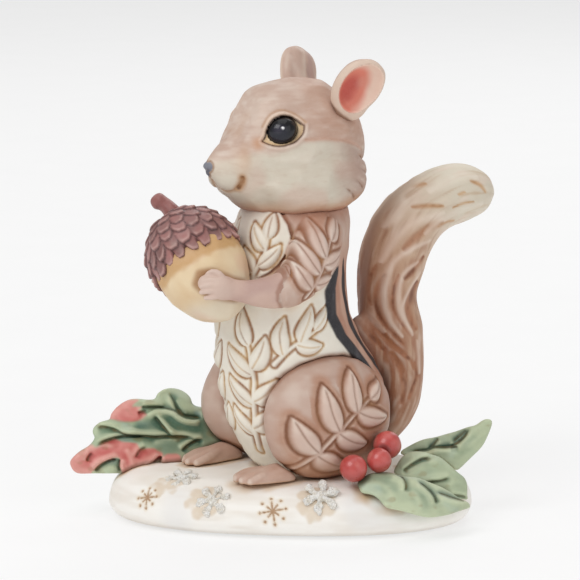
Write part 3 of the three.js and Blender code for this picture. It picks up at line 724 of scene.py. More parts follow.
HEAD_SEED = 11
COLLAR = Ball((0.2, 0, -0.7), (14.1, 13.9, 3.3))  # the head's lower rim, over the neck
NOSE_PAD = [(0.85, 9.5, 1.05), (-0.85, 9.5, 1.05), (0.0, 8.0, 0.8)]
MOUTH = [(24.6, 0.2, 6.2), (23.2, 1.0, 4.6), (21.6, 2.5, 3.3), (20.6, 4.4, 3.4), (19.8, 5.8, 4.3)]
DIMPLE = [(20.0, 5.5, 4.0), (19.7, 6.1, 4.9), (19.5, 6.6, 5.9), (19.5, 6.7, 6.9)]
CHEEK_LINE = [
    (5.4, 14.2, 16.6), (0.3, 15.0, 16.7), (-5.7, 14.2, 15.7), (-11.5, 11.6, 13.6), (-13.4, 8.4, 12.2),
]
# Where the pale cheek ends: how far forward, and how high
CHEEK_TOP = (-13, -6, 0, 6, 10, 14, 18, 22, 27), (12.8, 15.6, 16.5, 16.4, 14.6, 13.2, 13.6, 11.8, 10.5)
# Lines cut on both sides, with their radius and how soft their edges are
HEAD_LINES = [(MOUTH, 0.32, 0.25), (DIMPLE, 0.72, 0.3), (CHEEK_LINE, 0.2, 0.45)]
LINE_PAINT = [  # how far a line's dark and soft paint reach, and their colours
    (0.3, 0.9, (132, 92, 62), (196, 158, 122)), (0.75, 1.9, (84, 48, 26), (182, 132, 82)),
    (0.2, 0.8, (178, 138, 114), (200, 160, 140)),
]
TUFTS = [  # the cheek's tufts: start, tip and the tip's radius
    ((-9.6, 8.6, 13.4), (-14.5, 6.4, 11.4), 1.1), ((-8.4, 9.6, 10.6), (-13.3, 9.2, 8.4), 1.25),
    ((-6.4, 10.6, 7.4), (-11.3, 10.7, 5.1), 1.2), ((-4.8, 11.2, 4.9), (-9.4, 11.6, 2.6), 1.1),
    ((-2.2, 11.8, 2.6), (-6.2, 12.8, 1.0), 0.95),
]


def forehead_dip(p):
    """A shallow dip between the eyes and up the forehead."""
    middle = smoothstep(6.5, 2, np.abs(p[:, 1]))
    return -1.7 * hump(p[:, 0], 17.5, 6) * middle * smoothstep(9, 12, p[:, 2])


def tuft_grooves(p):
    """Grooves that part the cheek's tufts and notch its edge."""
    h = np.zeros(len(p))
    for (start_a, tip_a, _), (start_b, tip_b, _) in zip(TUFTS, TUFTS[1:]):
        tip = (vec(*tip_a) + vec(*tip_b)) / 2
        way = unit(tip - (vec(*start_a) + vec(*start_b)) / 2)
        q = np.stack([p[:, 0], np.abs(p[:, 1]), p[:, 2]], -1) - tip
        across, along = q @ unit(np.cross(way, vec(-0.5, 0.86, 0))), q @ way
        near = smoothstep(-4.5, -0.5, along) * smoothstep(4, 2, along)
        near = near * smoothstep(8, 6, np.linalg.norm(q, axis=1))
        h -= 0.75 * near * np.exp(-((across / 0.42) ** 2))
    return h


EYE_RADII = vec(3.95, 3.45, 3.55)  # along the lids, up, out
EYE_SINK = 2.45  # from the lids' skin down to the eye's middle
EYE_SHIFT = (0.4, -0.24, -0.3)  # from the CAD's eye to this one
EYE_LOOK = (0.42, 0.86, 0.28)  # which way the eye's dome faces
LID_TILT = 0.36  # how far the lids slope down to the nose
LIDS = {  # the upper and the lower lid's edge, from the eye's middle: along the lids and up
    1: [
        (-5.5, -0.9), (-4.2, 0.95), (-3.1, 2.25), (-1.3, 3.1), (0.4, 3.2), (2.0, 2.7), (3.4, 1.4),
        (4.4, -0.1), (5.5, -1),
    ],
    -1: [
        (-5.5, -0.9), (-4.5, -2.6), (-2.2, -3.75), (-0.6, -3.9), (1.0, -3.8), (2.4, -3.4), (4.1, -2.4),
        (5.5, -1),
    ],
}
# The groove over the upper lid, and the eyes' middles once they are seated
BROW = [(4.4, 2.4), (2.1, 4.3), (0, 4.85), (-1.6, 4.65), (-3.4, 3.6), (-5.2, 1.8), (-6.2, -0.2)]
_eyes = {}


def eye_frame(side):
    """The eye's middle, and axes along the lids, up and out."""
    middle = HEAD.local(middle_of("eye_left" if side > 0 else "eye_right")) + vec(*EYE_SHIFT) * (1, side, 1)
    out = unit(vec(*EYE_LOOK) * (1, side, 1))
    along = unit(np.cross(UP, out)) * -side
    along = unit(along + LID_TILT * np.cross(out, along) * side)
    up = np.cross(along, out) * side
    up = up if up[2] > 0 else -up
    return _eyes.get(side, middle), along, up, out


def seat_eyes(clay):
    """Sets each eye's middle a fixed way under the skin, so that its dome stands out of the lids."""
    for side in (1, -1):
        middle, _, _, out = eye_frame(side)
        reach = np.linspace(0, 8, 81)
        top = np.interp(0, clay.sample(middle + reach[:, None] * out), reach)
        _eyes[side] = middle + out * (top - EYE_SINK)


def almond(u, v):
    """Signed distance to the lids' outline, pointed at both ends."""
    uv = np.stack([u, v], -1)
    d = np.minimum(*(line_distance(uv, curve_points(LIDS[k], 40))[0] for k in (1, -1)))
    top, low = (np.interp(u, *np.array(LIDS[k]).T, left=-9 * k, right=-9 * k) for k in (1, -1))
    return np.where((v < top) & (v > low), -d, d)


def eye_uv(p, side):
    middle, along, up, out = eye_frame(side)
    q = p - middle
    return q @ along, q @ up, q @ out


def eye_cut(clay):
    for side in (1, -1):
        middle, along, up, out = eye_frame(side)
        at, p = clay.near(2.5)
        u, v, w = eye_uv(p, side)
        near = smoothstep(-4, -1, w) * (np.hypot(u, v) < 9)
        d = almond(u, v)
        brow, _, _ = line_distance(np.stack([u, v], -1), curve_points(BROW, 24))
        rim = (0.24 + 0.06 * side) * hump(d, 0.9, 0.9) - 0.4 * hump(d, 0.12, 0.4)
        h = rim - 0.4 * smoothstep(0.2, -0.5, d) - 0.22 * hump(brow, 0, 0.8)
        clay.d[at] -= (h * near).astype(np.float32)
        clay.cut(Ball(middle, EYE_RADII + 0.07, (along, up, out)), 0.1)


def eye_paint(p, colour):
    for side in (1, -1):
        u, v, w = eye_uv(p, side)
        near = (w > -2.5) & (np.hypot(u, v) < 9)
        d = almond(u, v)
        uv = np.stack([u, v], -1)
        brow, _, _ = line_distance(uv, curve_points(BROW, 24))
        top, _, _ = line_distance(uv, curve_points(LIDS[1], 40))
        colour = layers(
            colour,
            ((224, 194, 170), smoothstep(1.6, 0.4, d) * (v > -0.5) * near * 0.7),
            ((178, 132, 92), hump(brow, 0, 0.6) * near * 0.55),
            ((232, 208, 170), smoothstep(0.15, -0.15, d) * near * 0.95),
            ((206, 160, 108), hump(d, -0.35, 0.5) * (v < 0) * near * 0.45),
            ((92, 58, 34), hump(d, 0.08, 0.32) * near * 0.9),
            # Dark line over the upper lid: dark paint, and painted shade under the lid's edge
            ((52, 34, 28), hump(top, 0, 0.42) * (np.abs(u) < 5) * near * 0.85),
        )
        socket = np.hypot(u / EYE_RADII[0], v / EYE_RADII[1])
        colour = mix(colour, srgb(60, 42, 34), smoothstep(0.985, 0.95, socket) * near * 0.9)
    return colour


def make_eye(side, name):
    middle, along, up, out = eye_frame(side)
    rows, columns = 40, 64
    points, faces = [], []
    for r in range(rows + 1):
        a = math.pi * r / rows
        for c in range(columns):
            b = 2 * math.pi * c / columns
            q = EYE_RADII * (math.sin(a) * math.cos(b), math.sin(a) * math.sin(b), math.cos(a))
            points.append(middle + q @ np.array([along, up, out]))
    for r in range(rows):
        for c in range(columns):
            d = (c + 1) % columns
            faces.append((r * columns + c, (r + 1) * columns + c, (r + 1) * columns + d, r * columns + d))
    p = np.array(points)
    u, v, _ = eye_uv(p, side)
    colour = np.tile(srgb(14, 14, 17), (len(p), 1))
    # Painted reflection on the glossy eye: a blue-grey sheen low down, a grey glow by the middle and a white
    # highlight dot
    colour = layers(
        colour,
        ((36, 38, 50), smoothstep(3.4, 0.8, np.hypot((u - 1.2) / 1.2, v + 1.2)) * 0.8),
        ((70, 66, 78), smoothstep(1.6, 0.2, np.hypot((u - 0.9) / 1.3, v - 0.2)) * 0.6),
        (vec(1, 1, 1), smoothstep(0.4, 0.2, np.hypot(u + 0.05, v - 0.05))),
    )
    gloss = painted(name.lower() + "_gloss", (0.12, 0.2), coat=0.12, grain=0.0, mottle=0.02, specular=0.32)
    cast(name, p, faces, HEAD, colour, gloss)


# Paint shared by the pieces
def fur_coat(noise, p, stretch, pale=0.7, deep=0.45):
    """Pinkish brown with pale and deeper strokes that run along the fur."""
    flow = noise(p, stretch, 2)
    colour = mix(FUR, FUR_PALE, smoothstep(-0.15, 0.7, flow) * pale)
    return mix(colour, FUR_DEEP, smoothstep(-0.15, -0.8, flow) * deep)


def creases(colour, fine, broad, wash=WASH, light=WASH_LIGHT, pale=(240, 228, 214)):
    """Wash that has run into the creases, and dry-brushed ridges."""
    return layers(
        colour,
        (light, smoothstep(0.08, 0.5, broad) * 0.55),
        (wash, smoothstep(0.04, 0.2, fine) * 0.85),
        (pale, smoothstep(0.03, 0.18, -fine) * 0.45),
    )


_skins = {}  # of the CAD nodes that others meet, each made once


def gap_to(clay, p, nodes):
    """Distance from points of a clay to the nearest of some CAD nodes, up to 4 mm."""
    world = clay.place.world(p)
    best = np.full(len(p), 4.0)
    for node in nodes:
        low, high = box_mm(node)
        if node not in _skins:
            skin = Clay(WORLD, low - 4.5, high + 4.5, 0.5)
            skin.d = skin.level_set(node, 4.0)
            _skins[node] = skin
        at = np.nonzero(((world > low - 4) & (world < high + 4)).all(1))[0]
        best[at] = np.minimum(best[at], _skins[node].sample(world[at]))
    return best


def contact(colour, clay, p, nodes, wash=WASH, reach=2.2, share=0.7):
    """Wash that has run along the joint with some other castings."""
    return layers(colour, (wash, smoothstep(reach, 0.2, gap_to(clay, p, nodes)) * share))


class Relief:
    """Carved leaf sprigs on a skin: raised leaves and stems with a cut outline.

    A stem has its points and its width, and a leaf its root, tip, width and bend.
    """

    def __init__(self, stems, leaves, raised=0.55, cut=0.5, both_ways=False):
        self.stems, self.leaves = stems, leaves
        self.raised, self.cut, self.both_ways = raised, cut, both_ways

    def distances(self, uv):
        uv = np.asarray(uv, float)
        if self.both_ways:
            uv = np.c_[np.abs(uv[:, 0]), uv[:, 1]]
        best, rib = np.full(len(uv), 9.0), np.full(len(uv), 9.0)
        for points, width in self.stems:
            d, along, _ = line_distance(uv, curve_points(points, 14))
            best = np.minimum(best, d - width * (0.65 - 0.4 * along))
        for root, tip, width, bend in self.leaves:
            d, mid = leaf_shape(uv, root, tip, width, bend)
            rib = np.where(d < best, mid, rib)
            best = np.minimum(best, d)
        return best, rib

    def height(self, uv):
        best, rib = self.distances(uv)
        leaf = smoothstep(0.2, -1.0, best)
        groove = hump(best, 0.42, 0.62)
        vein = hump(rib, 0, 0.4) * smoothstep(-0.35, -0.9, best)
        return self.raised * leaf - self.cut * groove - 0.28 * vein

    def ink(self, uv):
        """Where the wash stays, on the outlines and the midribs, and the distance to the nearest form."""
        best, rib = self.distances(uv)
        ribs = hump(rib, 0, 0.42) * smoothstep(-0.35, -0.9, best) * 0.7
        return np.maximum(hump(best, 0.42, 0.7), ribs), best


# Ears
EAR_ROOT = vec(-6.2, 10.4, 22.6)
EAR_LEAN, EAR_SWEEP, EAR_FACING = (math.radians(degrees) for degrees in (32, 19, 68))
EAR_LUMPS = [  # middle and radii out of its cup, across it and along it, and how softly each joins on
    ((0.1, 0.6, 8.3), (2.1, 6.0, 8.2), 0.8), ((0.5, -2.6, 8.6), (1.8, 2.8, 6.4), 0.8),
    ((0.2, 2.6, 2.4), (1.8, 3.2, 3.4), 1.5), ((-0.5, 2.6, 11.2), (1.6, 3.1, 4.4), 0.8),
]


def ear_place(side):
    """The ear's root and its own axes: x out of its cup, y across it and z along it."""
    turn = (
        Matrix.Rotation(-EAR_LEAN, 3, "X")
        @ Matrix.Rotation(-EAR_SWEEP, 3, "Y")
        @ Matrix.Rotation(EAR_FACING, 3, "Z")
    )
    axes = np.array(turn).T * (1, side, 1)
    return EAR_ROOT * (1, side, 1), axes


def make_ear(side, name):
    noise = Noise(31 + side)
    root, axes = ear_place(side)
    clay = Clay.around(HEAD, [name.lower()], voxel=0.28, margin=3.0)
    clay.smooth(0.7, 0.3)
    for middle, radii, soft in EAR_LUMPS:
        clay.add(Ball(root + vec(*middle) @ axes, radii, axes), soft)
    clay.facets(noise, (3.4, 3.4, 14), 6, 1.0, lambda p: smoothstep(-0.6, -1.5, ((p - root) @ axes.T)[:, 0]))
    clay.smooth(0.25)
    cup_at, cup_radii = vec(2.7, 1.1, 9.4), vec(3.7, 5.4, 7.1)
    clay.cut(Ball(root + cup_at @ axes, cup_radii, axes), 0.35)
    p, faces = clay.surface()
    q = (p - root) @ axes.T
    fine = clay.crevice(p, 0.4)
    colour = fur_coat(noise, p, (2.5, 2.5, 5), 0.6, 0.3)
    n = clay.normals(p) @ axes.T
    behind = smoothstep(-0.3, -1.2, q[:, 0])
    fan = q[:, 1] + 0.12 * (q[:, 2] - 9) * q[:, 1] / 6
    bands = noise(np.stack([fan, q[:, 0] * 0, q[:, 2] * 0.06], -1), 2.0)
    colour = layers(
        colour,
        ((178, 148, 140), smoothstep(0.0, 0.5, bands) * behind * 0.7),
        ((224, 208, 192), smoothstep(-0.1, -0.6, bands) * behind * 0.6),
    )
    # 1 on the cup's own skin, and more beyond it
    bowl = np.linalg.norm((q - cup_at) / cup_radii, axis=1)
    cup = smoothstep(1.08, 1.02, bowl) * smoothstep(-0.9, 0.4, q[:, 0] + 0.5 * n[:, 0] + 0.6)
    front = np.maximum(smoothstep(-0.4, 0.9, q[:, 0]), smoothstep(-0.2, 0.3, n[:, 0]))
    colour = mix(colour, srgb(228, 206, 188), front * 0.8)
    reach = np.hypot((q[:, 1] + 1.4) / 5.6, (q[:, 2] - 6.6) / 8.6) + 0.08 * noise(p, 2)
    tone = mix(srgb(192, 76, 64), srgb(222, 128, 108), smoothstep(0.2, 0.62, reach))
    tone = mix(tone, srgb(238, 210, 192), smoothstep(0.62, 1.05, reach))
    colour = layers(
        colour,
        (tone, cup * 0.95),
        ((170, 122, 96), hump(cup, 0.5, 0.45) * front * 0.4),
        (WASH, smoothstep(0.08, 0.4, fine) * 0.35),
    )
    colour = contact(colour, clay, p, ["head"], WASH, 1.3, 0.75)
    cast(name, p, faces, HEAD, colour, painted("fur_" + name.lower()))


# Torso
TORSO_HEIGHTS = [0, 4.7, 11.7, 19.7, 29.7, 37.7, 48.7, 57.7, 64.7, 69.5]
TORSO_MIDDLES = [-8.5, -8.2, -7.4, -5.7, -2.3, 0, -0.2, -2, -3.1, -3.4]  # how far forward they lie
TORSO_RADII = [14, 16.8, 19.1, 19.7, 18.45, 16.7, 15, 14.2, 13.95, 13.05]


def round_torso(p):
    """The angle round the torso's middle, from its front to the left."""
    return np.arctan2(p[:, 1], p[:, 0] - np.interp(p[:, 2], TORSO_HEIGHTS, TORSO_MIDDLES))


def torso_uv(p):
    """Arc length round the torso from its front, to the left, and height."""
    return np.stack([round_torso(p) * np.interp(p[:, 2], TORSO_HEIGHTS, TORSO_RADII), p[:, 2]], -1)


BELLY_SPRIG = Relief(
    [([(4.5, 6), (8.8, 26), (6.4, 40)], 0.9), ([(14.5, 29.5), (19.5, 34), (27.5, 38.5)], 0.8)],
    [
        ((5.2, 10.5), (1.2, 17.6), 4.0, 0.6), ((5.8, 12), (12.4, 17.8), 4.4, -0.8),
        ((7.6, 18.5), (1.8, 25.6), 4.4, 0.8), ((8.0, 19.5), (14.6, 25.4), 4.6, -0.8),
        ((8.6, 26.5), (2.0, 33.6), 4.6, 0.8), ((8.8, 28), (12.6, 36.6), 4.4, -0.8),
        ((8.2, 34), (5.2, 43.2), 4.4, 0.6), ((17, 31.8), (16.8, 41.4), 4.4, 0.6),
        ((21.4, 35), (23.4, 44.0), 4.2, -0.5), ((20.5, 34.6), (28.0, 34.0), 3.8, -0.6),
        ((25.6, 37.8), (28.6, 43.6), 3.6, -0.3),
    ],
    raised=0.35,
    cut=0.45,
    both_ways=True,
)
BIB_SPRIG = Relief(
    [([(6, 50), (8.0, 56), (8.6, 62)], 0.8)],
    [
        ((6.6, 52.4), (1.6, 58), 4.0, 0.5), ((7.4, 54), (11.8, 59.4), 4.0, -0.5),
        ((8.2, 58), (3.8, 64.4), 4.0, 0.5), ((8.6, 60.8), (8.6, 67.2), 3.6, 0.2),
    ],
    raised=0.4,
    cut=0.45,
    both_ways=True,
)
SLEEVE_SPRIG = Relief(
    [([(5.8, 47.4), (2.6, 52.5), (-0.8, 58.5), (-3.4, 63)], 0.8)],
    [
        ((4.6, 49.6), (8.6, 56.6), 4.2, -0.6), ((2.4, 53.2), (6.4, 62.0), 4.4, -0.7),
        ((0.2, 57.0), (1.4, 67.0), 4.4, -0.6), ((3.6, 50.6), (-4.4, 51.6), 4.2, 0.6),
        ((0.8, 55.2), (-7.2, 57.8), 4.4, 0.6), ((-2.4, 60.8), (-7.0, 66.8), 4.0, 0.4),
    ],
    raised=0.4,
    cut=0.45,
)
STRIPE_SOFTNESS = 0.18
# The second stripe's heights, and the degrees from the front at which it lies
SECOND_STRIPE = (12, 16, 20, 26, 34, 39, 45, 51, 56), (174, 171, 166, 155, 144, 139.5, 136.5, 134, 131)
# The side stripe's heights, and how far forward its middle lies
STRIPE = [
    (54, -8.6), (51, -7), (47.4, -5.3), (41, -5.2), (35.4, -8.1), (25.9, -17), (19.7, -22.6), (14, -27),
]


TORSO_SEED = 41
# The bib's edge: its heights, and how far forward it lies
BIB_EDGE = (50.5, 52.6, 54.5, 56.4, 59, 61.5, 64.4, 68), (13.5, 10.3, 8.4, 7.3, 6.1, 5.3, 5.5, 6.8)


def bib_edge(z):
    return np.interp(z, *BIB_EDGE)


CUFF_HEIGHTS = (43.5, 45.5, 47.3, 49.5, 51.3, 53, 55, 58)
CUFF_REACHES = (10.2, 12.2, 13.6, 13.9, 12.8, 11.0, 10.2, 10.4)  # how far forward the cuff's edge lies


def cuff_offset(q):
    """How far a point lies beyond the sleeve's cuff, towards the hand."""
    return 0.85 * (q[..., 0] - np.interp(q[..., 2], CUFF_HEIGHTS, CUFF_REACHES))


def sleeve_uv(p):
    return p[:, [0, 2]]


def shape_torso():
    """The torso's clay, with both arms as far as the cuffs, and a function that tells its regions apart."""
    noise = Noise(TORSO_SEED)
    points = BODY.local(node_points("torso"))
    clay = Clay(BODY, points.min(0) - 3.4 - (0, 3, 0), points.max(0) + 3.4 + (0, 3, 0), 0.32)
    clay.d = clay.level_set("torso")
    body = clay.d.copy()
    arms = np.full(clay.shape, 4.5, np.float32)
    at, q = clay.block((-FAR, -FAR, 40), (FAR, FAR, 74))
    shoulder = smoothstep(49, 57, q[..., 2]) * smoothstep(7, 1, q[..., 0])
    for node in ("arm_left", "arm_right"):
        sleeve = np.maximum(clay.level_set(node)[at] - 0.2, cuff_offset(q) - 0.3)
        arms[at] = np.minimum(arms[at], sleeve)
        clay.d[at] = smooth_min(clay.d[at], sleeve, (0.5 + 3.6 * shoulder).astype(np.float32))
    clay.smooth(0.9, 0.2)
    clay.facets(noise, (6, 6, 6.5), 22, 0.6)
    clay.raise_by(lambda p: -0.8 * smoothstep(62, 69, p[:, 2]))
    clay.cut(Ball(NECK + COLLAR.c, COLLAR.r + 0.2), 0.1)

    def regions(p):
        """Where the skin is the sleeve's and where it is the bib's, each from 0 to 1."""
        sleeve = smoothstep(0.5, -0.5, clay.sample(p, arms) - clay.sample(p, body))
        bib = smoothstep(-0.5, 0.5, p[:, 0] - bib_edge(p[:, 2])) * smoothstep(50, 51.5, p[:, 2])
        return sleeve, bib

    def relief(p):
        uv = torso_uv(p)
        sleeve, bib = regions(p)
        edge = p[:, 0] - bib_edge(p[:, 2])
        above = smoothstep(50.5, 52, p[:, 2])
        h = BELLY_SPRIG.height(uv) * (1 - above) + (0.5 + BIB_SPRIG.height(uv)) * bib * above
        h = h - 0.55 * hump(edge, -0.6, 0.6) * above
        h = h - 0.25 * hump(np.abs(stripe_offset(p)), 1.0, 0.35)
        on_sleeve = SLEEVE_SPRIG.height(sleeve_uv(p)) - 0.3 * hump(cuff_offset(p), -1.0, 0.5)
        return h * (1 - sleeve) + on_sleeve * sleeve * smoothstep(10.5, 13.5, np.abs(p[:, 1]))

    clay.raise_by(relief)
    clay.smooth(0.2)
    return clay, regions


def paint_torso(clay, p, regions):
    noise = Noise(TORSO_SEED)
    uv = torso_uv(p)
    fine, broad = clay.crevice(p, 0.45), clay.crevice(p, 1.5)
    z = p[:, 2]
    sleeve, _ = regions(p)
    colour = fur_coat(noise, p, (2.4, 2.4, 6))
    stripe = stripe_offset(p)
    belly = smoothstep(-0.3, 0.5, np.where(z > 51, p[:, 0] - bib_edge(z), p[:, 0] - stripe_x(z)))
    cloud = smoothstep(-0.2, 0.8, noise(p, (5, 5, 7), 2))
    cream = mix(srgb(244, 239, 226), srgb(230, 222, 207), cloud * 0.7)
    cool = smoothstep(0.1, 0.8, noise(p + 30, 6)) * smoothstep(18, 26, np.abs(uv[:, 0]))
    cream = mix(cream, srgb(216, 216, 214), cool * 0.6)
    colour = mix(colour, cream, belly)
    # Behind the stripes the back is a warm brown
    back = smoothstep(-0.5, -1.2, stripe) * smoothstep(60, 50, z)
    rust = mix(srgb(196, 150, 126), srgb(176, 120, 94), smoothstep(-0.3, 0.6, noise(p, (2, 2, 8), 2)))
    colour = mix(colour, rust, back * 0.75)
    bib_on = smoothstep(50.5, 52, z)
    ink = BELLY_SPRIG.ink(uv)[0] * (1 - bib_on) + BIB_SPRIG.ink(uv)[0] * bib_on
    ochre = mix(srgb(206, 168, 112), srgb(146, 94, 52), smoothstep(-0.3, 0.5, noise(p, 3)))
    colour = mix(colour, ochre, ink * belly * 0.9)
    # Sleeves
    fur = fur_coat(noise, p + 20, (2.5, 2.5, 4), 0.8)
    sleeve_ink, leafy = SLEEVE_SPRIG.ink(sleeve_uv(p))
    outer = smoothstep(10.5, 13.5, np.abs(p[:, 1]))
    fur = layers(
        fur,
        ((220, 194, 180), smoothstep(0, -0.8, leafy) * outer * 0.6),
        ((176, 120, 88), hump(leafy, 0.9, 1.8) * outer * 0.5),
        ((124, 76, 48), sleeve_ink * outer * 0.85),
        ((140, 90, 66), smoothstep(-0.7, -0.1, cuff_offset(p)) * 0.7),
    )
    colour = mix(colour, fur, sleeve)
    colour = creases(colour, fine, broad, (150, 98, 58), (214, 180, 134), (246, 241, 230))
    edge = p[:, 0] - bib_edge(z)
    colour = mix(colour, srgb(128, 82, 58), hump(edge, -0.6, 0.7) * bib_on * (1 - sleeve) * 0.85)
    # Stripes
    side = stripe_share(stripe) * smoothstep(53.5, 52.5, z) * (1 - sleeve)
    behind = np.degrees(np.abs(round_torso(p)))
    half = np.interp(z, [13, 20, 34, 50, 55], [1.5, 4, 5.8, 5, 1])
    second = (behind - np.interp(z, *SECOND_STRIPE)) / half
    side = np.maximum(side, stripe_share(second) * smoothstep(55, 54, z) * smoothstep(12.5, 13.5, z))
    spine_half = np.interp(z, [16, 24, 40, 50, 56], [0.5, 1.2, 1.7, 1.4, 0.3])
    spine = stripe_share(p[:, 1] / spine_half) * (p[:, 0] < -6) * smoothstep(55.5, 53.5, z)
    dark = np.maximum(side, spine)
    ink = mix(DARK, srgb(70, 68, 74), smoothstep(0, 0.8, noise(p, (1.5, 1.5, 5), 2)))
    # Brown at the neck, a seam wash with painted shade under the head, and washes where other castings meet
    # it
    neck = smoothstep(61.5, 67.5, z + 0.1 * p[:, 0] + 0.8 * noise(p, 4))
    colour = mix(colour, srgb(176, 122, 96), neck * (1 - belly * 0.75) * 0.7)
    colour = contact(colour, clay, p, ["haunch_left", "haunch_right"], (150, 100, 66), 2.0, 0.7)
    colour = contact(colour, clay, p, ["acorn_nut"], (150, 100, 60), 1.4, 0.6)
    colour = contact(colour, clay, p, ["tail", "snow_mound"], (110, 66, 44), 2.6, 0.6)
    return mix(colour, ink, dark)


def make_torso():
    clay, regions = shape_torso()
    p, faces = clay.surface()
    material = painted("belly_and_back", (0.46, 0.62))
    cast("Torso_and_sleeves", p, faces, BODY, paint_torso(clay, p, regions), material, "torso")


def stripe_x(z):
    """How far forward the middle of the side stripe lies at a height."""
    return np.interp(z, *np.array(STRIPE[::-1]).T)


def stripe_share(offset):
    """1 on a stripe and 0 beyond it, softly at its edges, which lie at offsets of 1 and -1."""
    return smoothstep(1 + STRIPE_SOFTNESS, 1 - STRIPE_SOFTNESS, np.abs(offset))


def stripe_offset(p):
    """0 on the middle of the side stripe, 1 and -1 on its edges."""
    z = p[:, 2]
    half = np.interp(z, [16, 22, 30, 38, 47, 51, 53.5], [0.3, 0.9, 1.5, 1.9, 1.9, 1.2, 0.2])
    lean = np.sqrt(1 + np.interp(z, [20, 30, 36, 41, 50], [1.1, 0.95, 0.5, 0.1, 0.3]) ** 2)
    return (p[:, 0] - stripe_x(z)) / (half * lean)


# Arms, haunches, feet
HAUNCH_SPRIG = Relief(
    [([(8.5, 3.5), (4.5, 8.5), (-1, 14), (-7, 18.5), (-12, 21)], 1.0)],
    [
        ((-5.6, 17.6), (-6.6, 28.0), 5.2, -0.9), ((-0.2, 13.4), (2.8, 25.2), 5.6, -1.0),
        ((4.8, 8.2), (11.2, 17.6), 5.4, -1.0), ((5.2, 7.6), (-4.6, 3.4), 5.0, 0.8),
        ((0, 13), (-9.8, 9.2), 5.2, 1.0), ((-6, 17.8), (-17, 15.2), 5.2, 1.0),
        ((-10.5, 20.4), (-15.4, 24.4), 4.2, 0.4),
    ],
    raised=0.4,
    cut=0.5,
)
HAUNCH_MIDDLE, HAUNCH_SPLAY = vec(HAUNCH_X, 15.0), math.radians(5)


def haunch_uv(q):
    """How far forward points of the left haunch lie along its own turn, and their height."""
    off = q[:, :2] - HAUNCH_MIDDLE
    return np.stack([HAUNCH_X + off @ vec(math.cos(HAUNCH_SPLAY), math.sin(HAUNCH_SPLAY)), q[:, 2]], -1)


def side_of(p, side):
    """Points of either side as points of the left one."""
    return p * (1, side, 1)


def make_arm(side, name):
    """A forearm and its hand, from under the cuff."""
    noise = Noise(51 + side)
    s = (1, side, 1)
    right, left = sorted((6 * side, 26 * side))
    clay = Clay(BODY, (2, right, 42), (36, left, 60), 0.21)
    clay.d = clay.level_set(name.lower())
    clay.smooth(0.8, 0.1)
    clay.add(Ball(vec(26.3, 15.1, 50.7) * s, (2.8, 1.8, 2.7)), 1.4)
    for points, radii in FINGERS:
        clay.add(Rope(curve_points(np.array(points) * s, 7), np.linspace(*radii, 7)), 0.22)
    clay.smooth(0.16)
    _, q = clay.block((-FAR, -FAR, -FAR), (FAR, FAR, FAR))
    clay.d = np.maximum(clay.d, -(cuff_offset(q) + 0.9).astype(np.float32))
    p, faces = clay.surface()
    q = side_of(p, side)
    fine = clay.crevice(p, 0.3)
    colour = mix(srgb(208, 178, 164), srgb(192, 160, 150), smoothstep(-0.5, 0.5, noise(p, (6, 4, 4), 2)))
    colour = layers(
        colour,
        ((214, 186, 172), hump(q[:, 2], 53.5, 3.5) * smoothstep(0, 0.6, noise(p + 5, 4)) * 0.7),
        ((216, 192, 178), smoothstep(23, 28, q[:, 0]) * 0.75),
        ((150, 98, 68), smoothstep(0.03, 0.16, fine) * 0.85),
        ((232, 212, 200), smoothstep(0.03, 0.14, -fine) * 0.4),
        ((146, 96, 72), smoothstep(0.9, 0.1, cuff_offset(q)) * 0.6),
    )
    colour = contact(colour, clay, p, ["torso"], (150, 100, 70), 1.6, 0.7)
    colour = contact(colour, clay, p, ["acorn_nut"], (150, 96, 60), 0.8, 0.65)
    cast(name, p, faces, BODY, colour, painted("fur_" + name.lower(), (0.42, 0.58)))


FINGERS = [  # the left hand's: points from the palm to the tip, and the radii at both ends
    ([(27.6, 15.3, 52.7), (29.3, 14.3, 53.0), (30.7, 13.1, 52.6)], (0.8, 0.58)),
    ([(27.8, 15.4, 51.5), (29.8, 14.5, 51.7), (31.3, 13.2, 51.3)], (0.8, 0.6)),
    ([(27.8, 15.4, 50.2), (29.9, 14.6, 50.2), (31.4, 13.3, 49.9)], (0.8, 0.6)),
    ([(27.4, 15.5, 49.0), (29.2, 15.0, 48.7), (30.5, 13.9, 48.5)], (0.8, 0.58)),
    ([(25.8, 15.3, 52.3), (27.0, 14.6, 54.3), (28.3, 13.4, 54.8), (29.3, 12.8, 54.2)], (0.95, 0.6)),
]


def make_haunch(side, name):
    noise = Noise(61 + side)
    clay = Clay.around(BODY, [name.lower()], voxel=0.34, margin=3.0)
    clay.smooth(1.0, 0.25)
    clay.facets(noise, (7, 7, 7), 20, 0.5)

    def relief(p):
        q = side_of(p, side)
        return HAUNCH_SPRIG.height(haunch_uv(q)) * smoothstep(13, 18, q[:, 1])

    clay.raise_by(relief)
    clay.smooth(0.22)
    p, faces = clay.surface()
    q = side_of(p, side)
    fine, broad = clay.crevice(p, 0.45), clay.crevice(p, 1.6)
    colour = fur_coat(noise, p, (5, 5, 3), 0.8, 0.4)
    ink, best = HAUNCH_SPRIG.ink(haunch_uv(q))
    outer = smoothstep(13, 18, q[:, 1])
    colour = layers(
        colour,
        ((180, 138, 118), smoothstep(-3, -12, q[:, 0] + 0.3 * q[:, 2] - 6) * 0.6),
        ((222, 198, 184), smoothstep(0, -0.8, best) * outer * 0.7),
        ((172, 116, 82), hump(best, 1.0, 2.4) * outer * 0.65),
        ((122, 74, 44), ink * outer * 0.85),
    )
    colour = creases(colour, fine, broad)
    colour = mix(colour, srgb(186, 136, 102), smoothstep(9, 2, p[:, 2] + 0.8 * noise(p, 4)) * 0.6)
    colour = contact(colour, clay, p, ["torso"], (150, 96, 66), 2.4, 0.6)
    colour = contact(colour, clay, p, ["snow_mound", "foot_left", "foot_right"], WASH, 1.5, 0.7)
    cast(name, p, faces, BODY, colour, painted("fur_" + name.lower(), (0.44, 0.6)))


